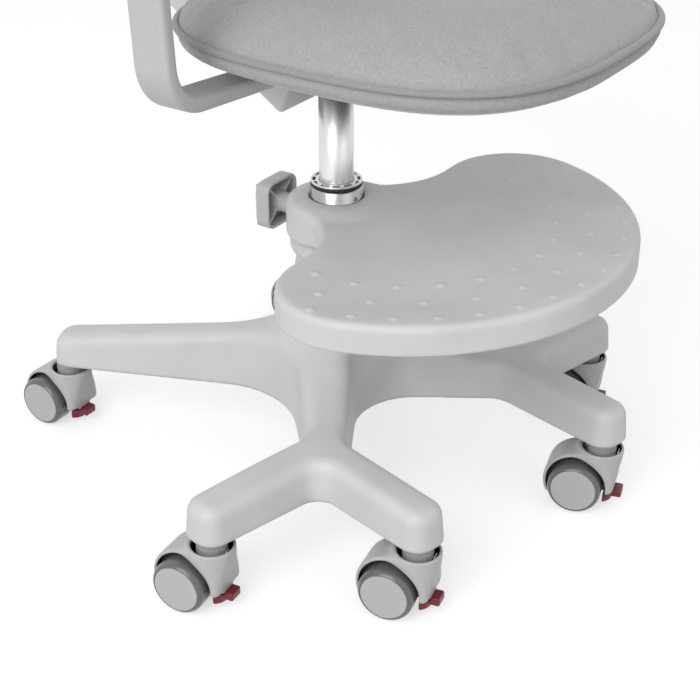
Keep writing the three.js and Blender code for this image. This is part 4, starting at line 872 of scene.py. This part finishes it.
def shell_field(x, y, z):
    edge = back_plan(z, y)
    depth = x + 182.7 - BACK_BEND * (y / BACK_HALF) ** 2
    shell = common(edge, between(depth, 0, 10), 5)
    sleeve = soft_box(x, y, z, (-223.3, -38.3, 600), (-180, 38.3, 690), 4)
    hole = np.maximum(np.maximum(between(x, -215.3, -190.7), np.abs(y) - 30.3), between(z, 590, 700))
    return np.maximum(join(shell, sleeve, 8), -hole)


def back_depth(x, y):
    return x + 172.1 - BACK_BEND * (y / BACK_HALF) ** 2


def back_field(x, y, z):
    edge = back_plan(z, y) + 9
    depth = np.clip(-edge / 90, 0, 1)
    front = back_depth(x, y) - 42 + 8 * (1 - depth) ** 2
    return common(common(edge, front, 34), -back_depth(x, y), 10)


def back_welt_field(x, y, z):
    return np.hypot(back_field(x, y, z), back_depth(x, y) - 17) - 2.2


def made(name, field, low, high, step, material, body, slot, nodes):
    points, faces = surface(field, low, high, step)
    return piece(name, mesh_of(name, upper(points), faces, [material]), body, nodes)


def coordinates(mesh):
    """The mesh's points in millimetres."""
    flat = np.empty(len(mesh.vertices) * 3)
    mesh.vertices.foreach_get("co", flat)
    return flat.reshape(-1, 3) / MM


def evaluated(item):
    return bpy.data.meshes.new_from_object(item.evaluated_get(bpy.context.evaluated_depsgraph_get()))


VOXEL, PRESSURE, LAST_FRAME, SWELL_CAP = 0.006, 4, 20, 6


def swollen(mesh, held):
    """Cushion blown up by cloth simulation; held says which points stay where they are."""
    scene = bpy.context.scene
    item = bpy.data.objects.new("swelling", mesh)
    scene.collection.objects.link(item)
    remesh = item.modifiers.new("remesh", "REMESH")
    remesh.mode, remesh.voxel_size = "VOXEL", VOXEL
    even = evaluated(item)
    item.modifiers.clear()
    item.data = even
    start = coordinates(even)
    group = item.vertex_groups.new(name="held")
    group.add([int(i) for i in np.flatnonzero(held(*start.T))], 1, "REPLACE")
    cloth = item.modifiers.new("cloth", "CLOTH")
    cloth.settings.use_pressure = True
    cloth.settings.uniform_pressure_force = PRESSURE
    cloth.settings.effector_weights.gravity = 0
    cloth.settings.vertex_group_mass = "held"
    cloth.point_cache.frame_start, cloth.point_cache.frame_end = 1, LAST_FRAME
    for frame_number in range(1, LAST_FRAME + 1):
        scene.frame_set(frame_number)
    move = coordinates(evaluated(item)) - start
    scene.frame_set(1)
    item.modifiers.clear()
    length = np.maximum(np.linalg.norm(move, axis=1), 1e-9)
    move *= np.minimum(1, SWELL_CAP / length)[:, None]
    even.vertices.foreach_set("co", ((start + move) * MM).ravel())
    finer = item.modifiers.new("finer", "SUBSURF")
    finer.levels = 1
    result = evaluated(item)
    bpy.data.objects.remove(item)
    return result


def cushion(name, field, low, high, material, body, node, held, welt, inset=1, seam=1.2):
    """Padded cushion: swollen from a smaller shape, and drawn in along its welt."""
    points, faces = surface(lambda x, y, z: field(x, y, z) + inset, low, high, 3.2)
    mesh = mesh_of(name, points, faces, [material])
    mesh = swollen(mesh, lambda *at: held(*at) | (welt(*at) < 5))
    points = coordinates(mesh)
    normals = np.empty(len(mesh.vertices) * 3)
    mesh.vertices.foreach_get("normal", normals)
    near = np.exp(-(np.maximum(welt(*points.T), 0) / 5) ** 2)
    points = points - normals.reshape(-1, 3) * (near * seam)[:, None]
    mesh.vertices.foreach_set("co", (upper(points) * MM).ravel())
    mesh.shade_smooth()
    mesh.update()
    piece(name, mesh, body, [node])


made("seat_tray", pan_field, (-90, -172, 432), (269, 172, 456), 2.6, NYLON, "seat", "nylon", ["seat_pan"])
cushion("seat_pad", seat_field, (-114, -196, 446), (293, 196, 514), FABRIC, "seat", "seat_cushion",
        lambda x, y, z: z < WELT_Z - 6, seat_welt_field)
made("seat_welt", seat_welt_field, (-112, -194, WELT_Z - 4), (291, 194, WELT_Z + 4), 1.3, WELT, "seat", "fabric", [])
made("tilt_housing", mechanism_field, (-74, -59, 393), (114, 59, 438), 1.6, BLACK, "seat", "black",
     ["mechanism_housing"])
made("lift_lever", lever_field, (-9, -9, 416), (40, 231, 434), 1.4, BLACK, "lever", "black", ["height_lever"])
for name, low, high in (("left", 52, 256), ("right", -256, -52)):
    made(f"arm_bracket_{name}", bracket_field, (-31, low, 412), (11, high, 657), 2.2, HOOD, "seat", "hood",
         [f"armrest_bracket_{name}"])
    sides = (low + 160, high + 20) if low > 0 else (low - 20, high - 160)
    made(f"arm_rest_{name}", pad_field, (-88, sides[0], 652), (148, sides[1], 682), 1.8, BLACK, "seat", "black",
         [f"arm_pad_{name}"])
made("back_stay", carrier_field, (-219, -43, 363), (-10, 43, 708), 2.2, NYLON, "seat", "nylon", ["back_carrier"])
made("back_panel", shell_field, (-227, -189, 556), (-130, 189, 909), 2.8, NYLON, "back", "nylon", ["back_shell"])
cushion("back_pad", back_field, (-176, -180, 564), (-90, 180, 901), FABRIC, "back", "back_cushion",
        lambda x, y, z: back_depth(x, y) < 11, back_welt_field)
made("back_welt", back_welt_field, (-160, -180, 564), (-118, 180, 901), 1.3, WELT, "back", "fabric", [])


# ---- Small parts carried over from the CAD model ----

for node, material in {
    "column_screw": STEEL, "lift_rod": STEEL, "lift_button": STEEL, "clamp_stud": STEEL, "clamp_insert": BRASS,
    "clamp_pad": BRASS, "footrest_bush": BLACK, **{f"castor_axle_{name}": STEEL for name in ARM_TIPS},
}.items():
    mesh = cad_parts[node].data
    mesh.materials.clear()
    mesh.materials.append(material)


# ---- Stage, light and camera ----

def area_light(name, place, target, size, watts):
    data = bpy.data.lights.new(name, "AREA")
    data.shape, data.size, data.energy = "DISK", size, watts
    lamp = bpy.data.objects.new(name, data)
    bpy.context.scene.collection.objects.link(lamp)
    towards = np.subtract(target, place)
    look_at(lamp, place, towards)
    return lamp


def look_at(item, place, towards):
    item.location = place
    item.rotation_euler = Vector(towards).to_track_quat("-Z", "Y").to_euler()


def seen_share(tree):
    """Socket that is 1 where a ray comes from the camera, off metal or through glass."""
    path = tree.nodes.new("ShaderNodeLightPath")
    total = path.outputs["Is Camera Ray"]
    for kind in ("Is Glossy Ray", "Is Transmission Ray"):
        add = tree.nodes.new("ShaderNodeMath")
        add.operation, add.use_clamp = "ADD", True
        tree.links.new(total, add.inputs[0])
        tree.links.new(path.outputs[kind], add.inputs[1])
        total = add.outputs[0]
    return total


FLOOR_GLOW = 0.62


def floor_material():
    """Pale floor that keeps its shadows, lifted to white where it is seen."""
    nodes = Nodes("floor")
    shade = nodes.ramp(nodes.noise(3, 2), [(0.3, 0.54), (0.7, 0.56)])
    nodes.link(shade, nodes.shader.inputs["Base Color"])
    nodes.shader.inputs["Roughness"].default_value = 0.9
    nodes.shader.inputs["Specular IOR Level"].default_value = 0.1
    glow = nodes.add("ShaderNodeEmission")
    glow.inputs["Strength"].default_value = FLOOR_GLOW
    dark = nodes.add("ShaderNodeEmission")
    dark.inputs["Strength"].default_value = 0
    lift = nodes.add("ShaderNodeMixShader")
    nodes.link(seen_share(nodes.tree), lift.inputs["Fac"])
    nodes.link(dark.outputs[0], lift.inputs[1])
    nodes.link(glow.outputs[0], lift.inputs[2])
    both = nodes.add("ShaderNodeAddShader")
    nodes.link(nodes.shader.outputs[0], both.inputs[0])
    nodes.link(lift.outputs[0], both.inputs[1])
    nodes.link(both.outputs[0], nodes.tree.nodes["Material Output"].inputs["Surface"])
    return nodes.material


FLOOR_HALF = 9000
floor_mesh = mesh_of("floor", [(-FLOOR_HALF, -FLOOR_HALF, 0), (FLOOR_HALF, -FLOOR_HALF, 0),
                               (FLOOR_HALF, FLOOR_HALF, 0), (-FLOOR_HALF, FLOOR_HALF, 0)],
                     [(0, 1, 2, 3)], [floor_material()])
floor = bpy.data.objects.new("floor", floor_mesh)
bpy.context.scene.collection.objects.link(floor)


def white_world():
    world = bpy.data.worlds.new("studio")
    world.use_nodes = True
    tree = world.node_tree
    background = tree.nodes["Background"]
    background.inputs["Color"].default_value = (0.55, 0.55, 0.55, 1)
    white = tree.nodes.new("ShaderNodeBackground")
    white.inputs["Color"].default_value = (1, 1, 1, 1)
    mix = tree.nodes.new("ShaderNodeMixShader")
    tree.links.new(seen_share(tree), mix.inputs["Fac"])
    tree.links.new(background.outputs["Background"], mix.inputs[1])
    tree.links.new(white.outputs["Background"], mix.inputs[2])
    tree.links.new(mix.outputs["Shader"], tree.nodes["World Output"].inputs["Surface"])
    bpy.context.scene.world = world


white_world()
TARGET = (-0.0341, -0.0569, 0.15)
area_light("key", (-2.2, -0.9, 1.8), (0, 0, 0.2), 2.2, 44)
area_light("fill", (0.2, -2.7, 1.3), (0, 0, 0.2), 2.0, 5)

camera_data = bpy.data.cameras.new("camera")
camera_data.lens, camera_data.sensor_width = 77.14, 36
camera = bpy.data.objects.new("camera", camera_data)
bpy.context.scene.collection.objects.link(camera)
CAMERA_PLACE = (-0.8754, -0.9892, 0.8461)
look_at(camera, CAMERA_PLACE, np.subtract(TARGET, CAMERA_PLACE))
bpy.context.scene.camera = camera
bpy.context.scene.view_settings.view_transform = "Standard"
